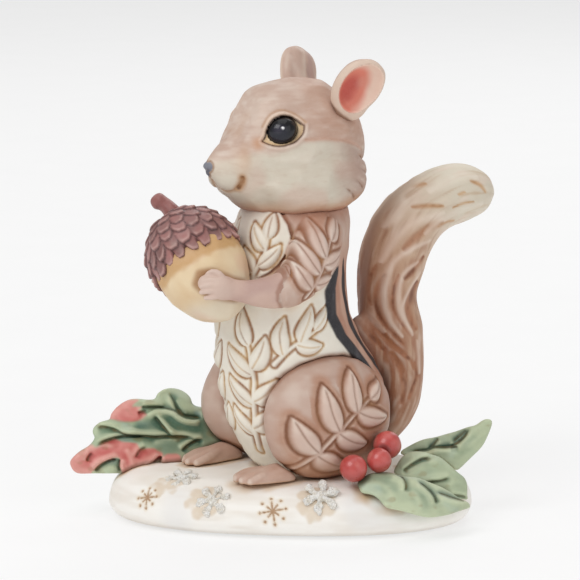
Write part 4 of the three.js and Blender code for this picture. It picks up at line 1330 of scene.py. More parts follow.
TOES = ((16.4, 20.2), (14.2, 21.6), (11.9, 22.0), (9.8, 20.6))  # how far out and forward each tip lies
NEAR_FOOT_START, NEAR_FOOT_LENGTH = 14, 0.84  # the near foot is shorter in front of this place


def make_foot(side, name):
    noise = Noise(71 + side)
    clay = Clay.around(BODY, [name.lower()], voxel=0.28, margin=3.0)
    clay.smooth(0.6, 0.15)
    s = (1, side, 1)
    for y, x in TOES:
        start = vec(13.0, 13.6 + (y - 13.1) * 0.55, 2.3)
        toe = curve_points([start * s, vec(x - 3.4, y, 1.9) * s, vec(x, y - 0.3, 0.9) * s], 6)
        clay.add(Rope(toe, np.linspace(1.25, 0.95, 6)), 0.35)
    low, _ = clay.block((-FAR, -FAR, -FAR), (FAR, FAR, 0.05))
    clay.d[low] = np.maximum(clay.d[low], 0.5)
    p, faces = clay.surface()
    fine, broad = clay.crevice(p, 0.4), clay.crevice(p, 1.2)
    colour = mix(fur_coat(noise, p, (4, 2, 2)), srgb(200, 158, 136), 0.4)
    colour = creases(colour, fine, broad)
    colour = contact(colour, clay, p, ["haunch_left" if side > 0 else "haunch_right"], WASH, 1.4, 0.7)
    colour = mix(colour, WASH_LIGHT, smoothstep(0.9, 0.2, p[:, 2]) * 0.7)
    if side > 0:
        p[:, 0] = NEAR_FOOT_START + NEAR_FOOT_LENGTH * (p[:, 0] - NEAR_FOOT_START)
    cast(name, p, faces, BODY, colour, painted("fur_" + name.lower(), (0.44, 0.6)))


# Tail
TAIL_SEED = 81
TAIL = [  # the middle of the tail from its root to its tip: forward and up
    (-20.7, 7.7), (-27.9, 7.4), (-32.3, 13.7), (-33.1, 22), (-32.1, 34), (-31.3, 45.7), (-33.8, 55.2),
    (-39.8, 62.8), (-48.1, 66.6), (-54.3, 67), (-59.5, 66.3), (-62.5, 65.8),
]


def tail_frame(p):
    """How far points lie along the tail and outside its middle, their angle round it, and its length."""
    path = curve_points(TAIL, 120)
    steps = np.linalg.norm(np.diff(path, axis=0), axis=1)
    length = np.r_[0, np.cumsum(steps)]
    q = p[:, [0, 2]]
    best = np.full(len(p), 1e9)
    index = np.zeros(len(p), int)
    for i, c in enumerate(path):
        d = ((q - c) ** 2).sum(1)
        closer = d < best
        best = np.where(closer, d, best)
        index = np.where(closer, i, index)
    way = np.gradient(path, axis=0)
    way /= np.linalg.norm(way, axis=1, keepdims=True)
    off = q - path[index]
    t = (off * way[index]).sum(1)
    across = off[:, 0] * -way[index][:, 1] + off[:, 1] * way[index][:, 0]
    return length[index] + t, across, np.arctan2(p[:, 1], across), length[-1]


TAIL_GROOVES = [  # on both flanks, seen from the side: forward and up
    ([(-31.2, 67.3), (-27.2, 64.9), (-23.7, 61.2), (-21, 56.3), (-19.4, 51.8), (-19, 48.1)], 0.9),
    ([(-26.1, 60.5), (-25.3, 58.3), (-22.6, 55.2), (-21, 53.5)], 0.6),
    ([(-24.8, 50.8), (-23.7, 47.2), (-23.1, 43.5), (-24, 39.9)], 0.6),
    ([(-26.1, 48.8), (-24.9, 44.7), (-24.8, 40.1), (-26.1, 35.8), (-28.8, 32.3), (-31.2, 29.7)], 0.8),
    ([(-29.2, 48.6), (-28, 44.5), (-28, 39.8), (-29.9, 35.9), (-33.1, 31.9)], 0.7),
    ([(-37.4, 52.5), (-35, 50.4), (-32.3, 48.3), (-30.4, 47.1)], 1.5),
    ([(-35.9, 46.1), (-33.6, 43), (-32.4, 39.4), (-33.6, 35.6), (-35.1, 33.1)], 1.9),
    ([(-43, 60.7), (-38.2, 59.9), (-33.9, 57.5), (-30.4, 54.5)], 1.7),
    ([(-40.3, 70.7), (-37.6, 70.2), (-34.9, 70.3)], 0.7), ([(-43, 65.1), (-38.2, 65.4), (-34.2, 65.2)], 0.9),
    ([(-49.7, 68.3), (-47.3, 67.6)], 0.6), ([(-51.6, 71), (-54.5, 69.8), (-56.7, 67.4)], 0.8),
    ([(-43, 74.5), (-45.7, 74.8), (-47.8, 74.4)], 0.5),
    ([(-20, 44.2), (-18.9, 40.6), (-20.2, 36.7), (-23.7, 32.2), (-26.7, 28.2)], 1.0),
    ([(-21.6, 39.4), (-25.3, 34.4), (-28, 30), (-32.8, 25.8), (-34.4, 22.9)], 0.9),
    ([(-28, 28.1), (-30.7, 22.7), (-31.7, 18.4), (-30.7, 13.9)], 1.2),
    ([(-34.2, 25.2), (-35.2, 21.4), (-33.9, 17.8), (-32.8, 15.1)], 0.8),
    ([(-45.1, 64.5), (-49.4, 65.5), (-52.6, 65.4)], 0.5),
    ([(-47.3, 60.8), (-44.1, 60.8), (-40.9, 59.7)], 0.6),
]
TAIL_LOCKS = [
    ([(-36.6, 70.1), (-33.6, 69), (-32.8, 66.2), (-30.4, 62.9), (-27.2, 60)], 1.3),
    ([(-43, 63.5), (-37.6, 62.5), (-33.4, 61.3), (-29.6, 58.3), (-27.2, 54.8), (-25.3, 51.2)], 1.5),
    ([(-39.2, 56.6), (-33.9, 55.2), (-29.1, 52.8), (-26.7, 49.3), (-25.9, 45.1), (-25.9, 40.5),
        (-27.7, 35.6), (-30.7, 31.6)], 1.1),
    ([(-35.5, 51.3), (-31.2, 49.3), (-29.3, 45.8), (-29.2, 41.1), (-30.7, 36.8), (-33.6, 31.8)], 1.1),
    ([(-36.3, 48.4), (-33.4, 45.4), (-31.2, 42.3), (-30.2, 39.6), (-31.5, 35.8), (-33.4, 32.8)], 0.9),
    ([(-54.8, 71.5), (-49.4, 72), (-44.1, 70.6), (-39.2, 68.7)], 1.6),
    ([(-55.9, 64.9), (-50.5, 64), (-45.7, 63), (-40.9, 61.1), (-36.6, 58.2)], 1.3),
    ([(-23.2, 51.4), (-21.6, 46.9), (-21.5, 42.2), (-23.2, 37.9), (-26.7, 32.9)], 1.0),
    ([(-35, 30.8), (-35.8, 26), (-36.3, 21.3)], 1.0),
]


def tail_strokes(p, table):
    """How strongly each point lies on a table's strokes, from 0 to 1, and the width of the stroke there."""
    best, width = np.zeros(len(p)), np.full(len(p), 0.8)
    uv = p[:, [0, 2]]
    for points, wide in table:
        d, t, _ = line_distance(uv, curve_points(points, 4 * len(points)))
        taper = np.clip(4.2 * t * (1 - t), 0, 1) ** 0.5
        h = hump(d / (wide * (0.35 + 0.65 * taper)), 0, 1.25) * smoothstep(0, 0.25, taper)
        width = np.where(h > best, wide, width)
        best = np.maximum(best, h)
    return best * smoothstep(1.0, 3.2, np.abs(p[:, 1])), width


def tail_map(s, angle, length, width, warp=0.0):
    """Places on the tail's skin for a noise that is drawn out along it."""
    return np.stack([s / length, np.cos(angle) * width + warp, np.sin(angle) * width + warp], -1)


def tail_ripples(noise, p, s, angle):
    """Fine locks that follow the tail where no stroke lies: their depth, from 0 to 1."""
    warp = noise(p, (9, 9, 12), 2)
    small = np.abs(noise(tail_map(s, angle, 13, 3.2, 0.7 * warp) * 4, 3.4))
    return smoothstep(0.13, 0.0, small)


def shape_tail():
    noise = Noise(TAIL_SEED)
    clay = Clay.around(BODY, ["tail"], voxel=0.38, margin=3.5)
    clay.add(Rope([(-26, 0, 26), (-22.4, 0.6, 31.5), (-20.9, 1.2, 35.4)], (4.2, 2.9, 1.9)), 2.0)
    clay.smooth(1.3, 0.3)
    at, p = clay.near(2.0)
    s, across, angle, total = tail_frame(p)
    groove, width = tail_strokes(p, TAIL_GROOVES)
    lock, _ = tail_strokes(p, TAIL_LOCKS)
    ripple = tail_ripples(noise, p, s, angle)
    fade = smoothstep(6, 20, s)
    h = 0.2 * lock - groove * (0.2 + 0.2 * np.minimum(width, 1.3))
    h = h - 0.12 * ripple * (1 - lock) * (1 - groove)
    hollow = 1.25 * hump(p[:, 2], 41, 8) * smoothstep(-2, 4, across)
    waist = 0.7 * hump(s / total, 0.8, 0.16) * smoothstep(2, -3, across)
    h = h - hollow - waist
    edge_on = smoothstep(3.2, 1.0, np.abs(p[:, 1]))
    h = h + 0.25 * noise(tail_map(s, angle, 10, 2) * 3, 3) * (0.5 + edge_on)
    clay.d[at] -= (h * fade).astype(np.float32)
    clay.smooth(0.28)
    return clay


def paint_tail(clay, p):
    noise = Noise(TAIL_SEED)
    s, across, angle, total = tail_frame(p)
    groove, _ = tail_strokes(p, TAIL_GROOVES)
    lock, _ = tail_strokes(p, TAIL_LOCKS)
    fine, broad = clay.crevice(p, 0.5), clay.crevice(p, 1.8)
    share = s / total
    warp = noise(p, (9, 9, 12), 2)
    streak = noise(tail_map(s, angle, 7, 3, 0.5 * warp) * 3, 2.2, 2)
    hair = noise(tail_map(s, angle, 9, 8, 0.6 * warp), 0.8, 2)
    front = smoothstep(2.5, -5, across)
    rust = np.clip(smoothstep(0.66, 0.22, share) * 0.75 + front * smoothstep(0.8, 0.5, share) * 0.5, 0, 1)
    colour = mix(srgb(206, 176, 150), srgb(168, 116, 86), rust)
    tip = smoothstep(0.6, 0.84, share + 0.05 * warp)
    colour = layers(
        colour,
        ((220, 212, 194), tip * 0.9),
        ((228, 208, 192), smoothstep(0.05, 0.6, streak) * 0.5),
        ((158, 98, 70), smoothstep(-0.1, -0.6, streak) * 0.5 * (1 - tip)),
        (mix(srgb(212, 184, 160), srgb(228, 216, 194), tip), smoothstep(0.15, 0.65, hair) * 0.5),
        (mix(srgb(140, 86, 58), srgb(190, 150, 104), tip), smoothstep(-0.2, -0.65, hair) * 0.4),
    )
    deep = mix(srgb(112, 62, 38), srgb(176, 126, 72), tip)
    light = mix(srgb(168, 108, 72), srgb(204, 158, 108), tip)
    colour = layers(
        colour,
        (light, np.maximum(groove, smoothstep(0.02, 0.3, broad) * 0.7) * 0.75),
        (deep, smoothstep(0.35, 0.95, groove) * smoothstep(0.2, -0.5, noise(p, 2.2, 2)) * 0.7),
        (deep, smoothstep(0.04, 0.2, fine) * 0.75),
        (mix(srgb(226, 200, 182), srgb(234, 226, 210), tip), lock * 0.6),
        ((236, 222, 208), smoothstep(0.02, 0.14, -fine) * 0.45),
        ((142, 108, 96), hump(np.abs(p[:, 1]), 0, 4) * front * smoothstep(0.9, 0.6, share) * 0.5),
    )
    return contact(colour, clay, p, ["torso", "haunch_left", "haunch_right"], (104, 58, 40), 3.5, 0.8)


def make_tail():
    clay = shape_tail()
    p, faces = clay.surface()
    cast("Tail", p, faces, BODY, paint_tail(clay, p), painted("fur_tail", (0.44, 0.6)))


# Acorn
_aim = unit(vec(0.21, -0.62, 0.757))
_side = unit(np.cross(vec(0, 1, 0), _aim))
ACORN_AXES = np.array([_side, np.cross(_aim, _side), _aim])
ACORN = Place(BODY.world(vec(24.9, 0, NECK[2] - 15.1)), *(ACORN_AXES @ BODY.axes))
CAP_RADIUS, SCALE_ROWS = 13.2, 10
SCALE_STEP = 0.212  # from row to row, in radians from the stem
# A scale's room round the cap, its half width, and its length from middle to tip
SCALE_PITCH, SCALE_HALF, SCALE_TIP = 3.9, 2.05, 2.35
CAP_TOP, CAP_STRETCH = 15.2, 1.1  # the cap is drawn out below its top


def scale_height(p):
    """Height of the overlapping scales, a random value of each, and the distance to a scale's edge."""
    x, y, z = p[:, 0], p[:, 1], p[:, 2] - 1.6
    polar = np.arctan2(np.hypot(x, y), z)
    turn = np.arctan2(y, x)
    rng = np.random.default_rng(5)
    height, tone, border = np.zeros(len(p)), np.zeros(len(p)), np.full(len(p), 9.0)
    for k in range(1, SCALE_ROWS + 1):
        middle = SCALE_STEP * (k - 0.2)
        ring = CAP_RADIUS * math.sin(min(middle, 1.57))
        count = max(4, round(2 * math.pi * ring / SCALE_PITCH))
        wide = 2 * math.pi / count
        offset = 0.5 * (k % 2) + 0.13 * k
        cell = turn / wide + offset
        j = np.floor(cell).astype(int) % count
        jitter = rng.uniform(-0.35, 0.35, count)
        lift = rng.uniform(0.75, 1.2, count)
        shade = rng.uniform(-1, 1, count)
        tilt = rng.uniform(-0.16, 0.16, count)
        size = rng.uniform(0.9, 1.08, count)
        b = (cell - np.floor(cell) - 0.5) * wide * CAP_RADIUS * np.sin(np.clip(polar, 0.05, 3))
        a = (polar - middle) * CAP_RADIUS - jitter[j] + tilt[j] * b
        half = SCALE_HALF * size[j] * np.clip(1 - np.clip((a - 0.1) / 2.6, 0, 1) ** 1.7, 0, 1) ** 0.62
        edge = np.minimum(half - np.abs(b + 0.12 * a * np.sign(tilt[j])), SCALE_TIP - a)
        here = smoothstep(-0.05, 0.25, edge) * (a > -3)
        h = 0.1 + 0.95 * np.clip((a + 2.8) / 5, 0, 1) * lift[j] * (1 - 0.2 * (b / 2) ** 2)
        h = (h + 0.5 * tilt[j] * b) * here
        border = np.where((a > -0.8) & (h > height - 0.45), np.minimum(border, np.abs(edge)), border)
        tone = np.where(h > height, shade[j], tone)
        height = np.maximum(height, h)
    return height, tone, border


def make_cap():
    noise = Noise(91)
    clay = Clay.around(ACORN, ["acorn_cap"], voxel=0.3, margin=3.0)
    clay.add(Ball((0, 0, 2.4), (11.4, 11.4, 11.2)), 0.2)
    clay.smooth(0.9, 0.05)
    clay.raise_by(lambda p: (scale_height(p)[0] - 0.95) * smoothstep(-2.5, -0.5, p[:, 2]))
    clay.smooth(0.18)
    clay.d = np.maximum(clay.d, -(clay.level_set("acorn_nut") - 0.15))
    p, faces = clay.surface()
    fine = clay.crevice(p, 0.4)
    _, tone, border = scale_height(p)
    # Painted shadow in the fine crevices and under each scale's edge
    gap_shadow = np.maximum(smoothstep(0.07, 0.26, fine), smoothstep(0.16, 0.04, border) * 0.8)
    colour = mix(srgb(168, 122, 118), srgb(132, 94, 90), smoothstep(-1, 1, tone))
    colour = layers(
        colour,
        ((172, 108, 102), smoothstep(0, 0.7, noise(p, 4, 2)) * 0.55),
        ((168, 142, 134), smoothstep(0.1, 0.8, noise(p + 50, 3, 2)) * 0.6),
        # Painted shade near each scale's edge, painted shadow in the gaps, and painted highlight on the
        # ridges
        ((96, 60, 60), smoothstep(0.75, 0.1, border) * 0.5),
        ((48, 28, 28), gap_shadow * 0.85),
        ((206, 168, 160), smoothstep(0.03, 0.15, -fine) * smoothstep(0.2, 0.5, border) * 0.6),
    )
    p[:, 2] = CAP_TOP - CAP_STRETCH * (CAP_TOP - p[:, 2])
    material = painted("acorn_cap_scales", (0.36, 0.52), mottle=0.12)
    cast("Acorn_cap", p, faces, ACORN, colour, material)


STEM_SHIFT = ACORN_AXES @ vec(-1.1, 0.65, -0.5)
STEM_TIP = vec(0, 0, 19.4) + 2.6 * ACORN_AXES @ unit(vec(0.84, -0.48, 0.25))


def make_stem():
    noise = Noise(95)
    clay = Clay.around(ACORN, ["acorn_stem"], voxel=0.22, margin=2.0)
    clay.smooth(0.5, 0.25)
    clay.facets(noise, (2.4, 2.4, 4), 5, 0.6)
    clay.smooth(0.2)
    clay.add(Ball(STEM_TIP, (1.7, 1.7, 1.5)), 1.0)
    clay.smooth(0.2)
    p, faces = clay.surface()
    fine = clay.crevice(p, 0.5)
    colour = mix(srgb(150, 96, 92), srgb(178, 128, 122), smoothstep(-0.2, 0.7, noise(p, (2, 2, 4), 2)))
    colour = mix(colour, srgb(90, 54, 50), smoothstep(0.05, 0.3, fine) * 0.8)
    colour = contact(colour, clay, p, ["acorn_cap"], (84, 50, 46), 1.2, 0.7)
    cast("Acorn_stem", p + STEM_SHIFT, faces, ACORN, colour, painted("acorn_stem_bark", (0.36, 0.5)))


def make_nut():
    noise = Noise(97)
    clay = Clay.around(ACORN, ["acorn_nut"], voxel=0.4, margin=3.0)
    clay.smooth(1.2, 0.25)
    clay.facets(noise, (6, 6, 9), 15, 0.45)
    clay.smooth(0.3)
    p, faces = clay.surface()
    colour = mix(srgb(234, 212, 176), srgb(224, 196, 156), smoothstep(-0.4, 0.6, noise(p, (4, 4, 8), 2)))
    colour = layers(
        colour,
        ((226, 216, 196), smoothstep(-7, -14, p[:, 2] + 2 * noise(p, 6)) * 0.75),
        ((226, 184, 162), smoothstep(0.2, 0.8, noise(p + 25, 6)) * 0.35),
        ((212, 180, 128), smoothstep(0.1, 0.8, noise(p + 9, 7)) * 0.3),
    )
    gap = gap_to(clay, p, ["acorn_cap"])
    colour = mix(colour, srgb(196, 148, 86), smoothstep(2.6, 1.0, gap + 0.5 * noise(p, 1.6)) * 0.7)
    near = gap_to(clay, p, ["arm_left", "arm_right", "torso"])
    colour = mix(colour, srgb(158, 104, 56), smoothstep(1.8, 0.3, near) * 0.75)
    cast("Acorn_nut", p, faces, ACORN, colour, painted("acorn_nut_shell", (0.38, 0.52)))


# Leaves and berries
def leaf_uv(p):
    """The leaves' flat pattern: across and up as the figurine's own view shows them."""
    return np.stack([p @ ACROSS, p @ UPWARD], -1)


def outline_distance(uv, outline):
    """Signed distance to a closed rounded outline, negative inside."""
    points = curve_points(outline + outline[:1], 4 * len(outline))
    d = line_distance(uv, points)[0]
    inside = np.zeros(len(uv), bool)
    for (x0, y0), (x1, y1) in zip(points, points[1:]):
        if y0 != y1:
            crosses = (uv[:, 1] < y0) != (uv[:, 1] < y1)
            inside ^= crosses & (uv[:, 0] < x0 + (uv[:, 1] - y0) * (x1 - x0) / (y1 - y0))
    return np.where(inside, -d, d)


def leaf_sheet(node, uv):
    """Depth of a curved sheet fitted to a leaf's CAD casting, and the share of a depth that is distance."""

    def terms(q):
        u, v = q[:, 0] - middle[0], q[:, 1] - middle[1]
        return np.stack([np.ones(len(u)), u, v, u * v, u * u, v * v], -1)

    points = node_points(node)
    flat = leaf_uv(points)
    middle = flat.mean(0)
    fit = np.linalg.lstsq(terms(flat), points @ TOWARDS, rcond=None)[0]
    low, high = flat.min(0), flat.max(0)
    depth = terms(np.clip(uv, low, high)) @ fit
    slope = math.hypot(fit[1], fit[2])
    return depth, 1 / math.sqrt(1 + slope * slope)


def shape_leaf(clay, node, leaf, thickness, reach):
    """Fills a leaf out to its outline, trims it, and folds it along creases with a crest on their left."""
    at = np.nonzero(clay.d < clay.EMPTY - 0.1)
    p = np.stack([clay.axis[k][at[k]] for k in range(3)], -1)
    uv = leaf_uv(p)
    depth, share = leaf_sheet(node, uv)
    slab = np.abs(p @ TOWARDS - depth) * share - thickness / 2
    near = slab < 4
    edge = np.full(len(uv), -9.0)
    edge[near] = outline_distance(uv[near], leaf["outline"])
    d = smooth_min(clay.d[at], np.maximum(slab, edge), reach)
    clay.d[at] = -smooth_min(-d, -edge, 0.7)
    clay.smooth(0.3)
    at, p = clay.near(2.2)
    front = smoothstep(0.0, 0.5, clay.normals(p) @ TOWARDS)
    uv = leaf_uv(p)
    h = 0.0
    for points, deep, crest in leaf["folds"]:
        d, t, side = curve_distance(uv, points)
        ends = smoothstep(0, 0.1, t) * smoothstep(1, 0.8, t)
        dip = -0.7 * np.exp(-(((d - 0.6) / 1.1) ** 2))
        lift = np.where(side > 0, np.exp(-(((d - 0.8) / 0.8) ** 2)), dip)
        h = h + ends * (crest * lift - deep * np.exp(-((d / 0.36) ** 2)))
    for points, lift in leaf["ridges"]:
        d, t, _ = curve_distance(uv, points)
        h = h + lift * smoothstep(0, 0.2, t) * smoothstep(1, 0.8, t) * np.exp(-((d / 0.75) ** 2))
    clay.d[at] -= (h * front).astype(np.float32)
    clay.smooth(0.16)


def leaf_paint(clay, p, noise, leaf, light, middle, deep, red=None, soft_edge=0.6):
    """Greens with lined and washed folds, painted shade and highlight on the folds, painted shade inside
    the leaf's shade outline, and a share of red.
    """
    uv = leaf_uv(p)
    fine, broad = clay.crevice(p, 0.4), clay.crevice(p, 1.3)
    streak = noise(np.stack([uv[:, 0] * 0.5, uv[:, 1], p[:, 1] * 0.2], -1), 1.6, 2)
    colour = mix(middle, light, smoothstep(-0.5, 0.6, noise(p, 4.5, 2) + 0.5 * streak))
    colour = layers(
        colour,
        (deep, smoothstep(0.1, 0.75, noise(p + 20, 5, 2) - 0.3 * streak) * 0.75),
        ((160, 186, 186), smoothstep(0.15, 0.7, noise(p + 60, 3.5)) * 0.4),
    )
    # The colours of the painted shade and highlight, and of the lines along the folds
    dark, pale, line = deep * 0.6, srgb(206, 216, 182), srgb(66, 64, 40)
    # Painted shade inside the leaf's shade outline, deep green with teal patches
    reach = outline_distance(uv, leaf["shade"]) + 0.5 * streak
    colour = layers(
        colour,
        (deep, smoothstep(soft_edge, -soft_edge, reach) * 0.85),
        ((62, 100, 84), smoothstep(0.5, -2.5, reach) * smoothstep(-0.2, 0.6, noise(p + 44, 4)) * 0.5),
    )
    if red is not None:
        cloud = noise(p + 33, (4, 3, 2.5), 2) + 0.4 * streak
        tone = mix(srgb(192, 84, 80), srgb(214, 132, 126), smoothstep(-0.4, 0.5, cloud))
        tone = mix(tone, srgb(178, 64, 56), smoothstep(0.0, 0.6, noise(p + 90, 3)) * 0.65)
        colour = mix(colour, tone, red)
        dark, pale = mix(dark, srgb(132, 58, 48), red), mix(pale, srgb(238, 184, 172), red)
        line = mix(line, srgb(104, 52, 40), red)
    # Painted shade in the broad hollows and painted highlight on the crests, with an ochre wash in the
    # hollows
    colour = layers(
        colour,
        (dark, smoothstep(0.06, 0.55, broad) * 0.6),
        (pale, smoothstep(0.03, 0.4, -broad) * 0.55),
        ((150, 116, 62), smoothstep(0.2, 0.7, noise(p + 77, 3)) * smoothstep(-0.05, 0.3, broad) * 0.4),
    )
    # Painted shade on the low side of each fold; a dark line is painted along each fold
    near, soft = np.full(len(p), 9.0), np.zeros(len(p))
    for points, _, _ in leaf["folds"]:
        d, t, side = curve_distance(uv, points)
        ends = smoothstep(0, 0.1, t) * smoothstep(1, 0.75, t)
        near = np.minimum(near, d + 0.5 * (1 - ends))
        soft = np.maximum(soft, ends * np.where(side < 0, smoothstep(1.7, 0.1, d), 0))
    front = smoothstep(0.0, 0.5, clay.normals(p) @ TOWARDS)
    colour = mix(colour, dark, soft * front * 0.6)
    line = mix(line, srgb(96, 90, 54), smoothstep(-0.3, 0.5, noise(p + 12, 2.5)))
    strength = 0.6 + 0.3 * smoothstep(-0.4, 0.5, noise(p + 31, 3))
    colour = mix(colour, line, smoothstep(0.4, 0.1, near) * front * strength)
    stain = smoothstep(0.25, 0.65, noise(p + 66, (2.6, 2, 1.6), 2) + 0.2 * smoothstep(1.2, 0.3, near))
    colour = mix(colour, srgb(140, 112, 62), stain * (0.35 if red is None else 0.3))
    # Painted highlight on the sharpest ridges
    return mix(colour, pale, smoothstep(0.03, 0.16, -fine) * 0.5)


# A fold has its points, its depth and the height of its crest; a ridge has its points and its height
OAK = dict(
    outline=[
        (-56.7, 12.8), (-56.5, 13.9), (-54.3, 16.0), (-51.7, 17.6), (-50.3, 19.6), (-50.9, 20.4),
        (-51.0, 21.8), (-49.8, 23.1), (-47.7, 23.9), (-46.6, 24.2), (-46.7, 25.0), (-46.4, 25.8),
        (-44.8, 27.6), (-42.4, 29.0), (-40.1, 29.4), (-37.1, 29.1), (-35.2, 29.3), (-34.9, 30.4),
        (-33.2, 31.7), (-31.6, 32.1), (-29.2, 31.7), (-27.1, 30.6), (-25.9, 29.2), (-25.5, 27.9),
        (-24.2, 27.2), (-22.1, 27.0), (-17.3, 26.8), (-12.0, 17.1), (-17.3, 11.8), (-28.1, 11.6),
        (-29.7, 10.6), (-33.2, 10.6), (-33.8, 11.8), (-36.4, 11.1), (-39.5, 10.5), (-42.7, 10.3),
        (-50.4, 10.3), (-54.3, 10.3), (-55.9, 11.2),
    ],
    folds=[
        ([(-23.0, 24.2), (-27.5, 24.9), (-29.2, 26.4), (-30.5, 29.0), (-31.9, 31.2)], 0.9, 0.6),
        ([(-38.7, 27.3), (-35.8, 27.2), (-32.1, 27.0)], 0.7, 0.3),
        ([(-39.5, 25.7), (-36.9, 26.4)], 0.6, 0.2),
        ([(-23.0, 24.0), (-26.3, 24.1), (-28.4, 24.9), (-30.3, 26.2), (-32.4, 26.8), (-34.8, 26.8),
            (-36.4, 26.1), (-37.9, 24.7)], 0.7, 0.7),
        ([(-35.2, 24.9), (-33.4, 22.9), (-31.7, 20.9), (-30.3, 19.7)], 0.8, 0.5),
        ([(-50.1, 22.2), (-47.7, 22.3), (-45.3, 21.6), (-42.7, 20.5), (-40.1, 20.0),
            (-37.7, 19.9)], 0.6, 0.5),
        ([(-50.4, 17.2), (-48.0, 18.6), (-44.8, 19.6), (-40.6, 20.0), (-34.8, 19.7), (-28.1, 19.6),
            (-22.3, 18.6)], 0.9, 0.5),
        ([(-28.1, 15.9), (-26.6, 17.3), (-24.4, 18.5), (-22.3, 18.6)], 0.9, 0.5),
        ([(-50.4, 11.1), (-48.5, 12.8), (-45.9, 14.0), (-43.8, 14.2)], 0.9, 0.6),
        ([(-43.8, 14.2), (-44.0, 12.3), (-43.4, 10.6)], 0.8, 0.5),
        ([(-52.2, 13.5), (-51.8, 14.7), (-50.8, 16.1)], 0.6, 0.3),
        ([(-36.6, 11.6), (-35.0, 13.3), (-33.2, 14.8)], 1.3, 0.4),
        ([(-33.2, 14.8), (-33.6, 13.1), (-33.6, 11.8)], 0.6, 0.3),
        ([(-39.9, 14.4), (-38.7, 16.3), (-36.9, 17.3)], 0.4, 0.3),
    ],
    shade=[
        (-41.5, 20.6), (-39.5, 22.6), (-36.5, 23.2), (-33.5, 24.8), (-30.5, 25.6), (-27.0, 23.8),
        (-17.0, 24.5), (-17.0, 10.0), (-33.0, 10.0), (-34.0, 15.0), (-38.0, 18.6),
    ],
    ridges=[
        ([(-49.0, 22.9), (-44.8, 23.2), (-41.6, 22.3), (-39.0, 20.7)], 0.35),
        ([(-39.3, 23.1), (-37.1, 25.4), (-34.2, 26.3), (-31.6, 26.3), (-28.9, 25.1), (-26.8, 23.6)], 0.4),
        ([(-34.0, 24.2), (-31.6, 21.9), (-29.2, 20.0)], 0.3),
        ([(-34.8, 29.9), (-33.6, 31.2), (-31.9, 31.7)], 0.3),
        ([(-30.0, 29.5), (-27.9, 26.3), (-26.3, 25.1)], 0.3),
        ([(-55.7, 13.1), (-53.8, 15.3), (-50.9, 17.1), (-47.7, 17.6), (-44.6, 17.3)], 0.5),
        ([(-42.4, 17.3), (-41.1, 14.7), (-40.2, 11.8)], 0.4),
        ([(-35.8, 18.1), (-31.9, 18.8), (-28.4, 18.6)], 0.3),
    ],
    red=[
        [
            (-47.2, 24.3), (-46.9, 25.8), (-45.1, 27.9), (-42.4, 29.2), (-39.3, 29.0), (-40.8, 27.6),
            (-38.5, 27.1), (-39.3, 26.4), (-37.1, 25.4), (-39.3, 23.9), (-42.7, 23.5),
        ],
        [
            (-57.3, 12.8), (-56.7, 14.1), (-54.3, 16.1), (-51.4, 17.8), (-49.8, 17.2), (-47.7, 18.4),
            (-44.8, 19.0), (-42.2, 18.4), (-39.5, 18.0), (-38.5, 16.5), (-36.6, 16.8), (-34.0, 16.1),
            (-32.9, 14.9), (-36.4, 11.8), (-39.5, 10.2), (-42.7, 10.0), (-43.8, 11.8), (-44.0, 14.3),
            (-45.9, 14.1), (-48.3, 13.0), (-50.5, 11.0), (-50.6, 9.9), (-54.3, 9.9), (-56.5, 11.2),
        ],
        [
            (-33.6, 13.1), (-32.9, 14.7), (-30.8, 15.3), (-28.8, 14.9), (-28.1, 13.1), (-29.2, 11.1),
            (-31.6, 10.8), (-33.2, 11.5),
        ],
    ],
    underside=[
        (-50.4, 11.0), (-48.5, 12.8), (-45.9, 13.9), (-43.8, 14.2), (-44.0, 12.3), (-43.5, 10.0),
        (-50.4, 10.0),
    ],
)


def make_oak_leaf():
    noise = Noise(101)
    clay = Clay.around(WORLD, ["oak_leaf"], voxel=0.3, margin=4.0)
    clay.smooth(0.7, 0.1)
    shape_leaf(clay, "oak_leaf", OAK, 2.4, 2.0)
    clear_of_mound(clay)
    p, faces = clay.surface()
    uv = leaf_uv(p) + 0.35 * np.stack([noise(p, 1.6, 2), noise(p + 50, 1.6, 2)], -1)
    front = smoothstep(-0.3, 0.2, clay.normals(p) @ TOWARDS)
    red = np.max([smoothstep(0.5, -0.5, outline_distance(uv, part)) for part in OAK["red"]], axis=0)
    red = red * (1 - smoothstep(0.3, -0.3, outline_distance(uv, OAK["underside"])))
    greens = srgb(162, 180, 146), srgb(122, 148, 122), srgb(68, 102, 82)
    colour = leaf_paint(clay, p, noise, OAK, *greens, red * front, 1.4)
    others = ["haunch_right", "foot_right", "torso", "snow_mound"]
    colour = contact(colour, clay, p, others, (84, 68, 44), 1.6, 0.7)
    cast("Oak_leaf", p, faces, WORLD, colour, painted("oak_leaf_paint", (0.44, 0.6)))


def clear_of_mound(clay, gap=0.1):
    """Cuts off what would sink into the snow."""
    clay.d = np.maximum(clay.d, gap - clay.level_set("snow_mound"))


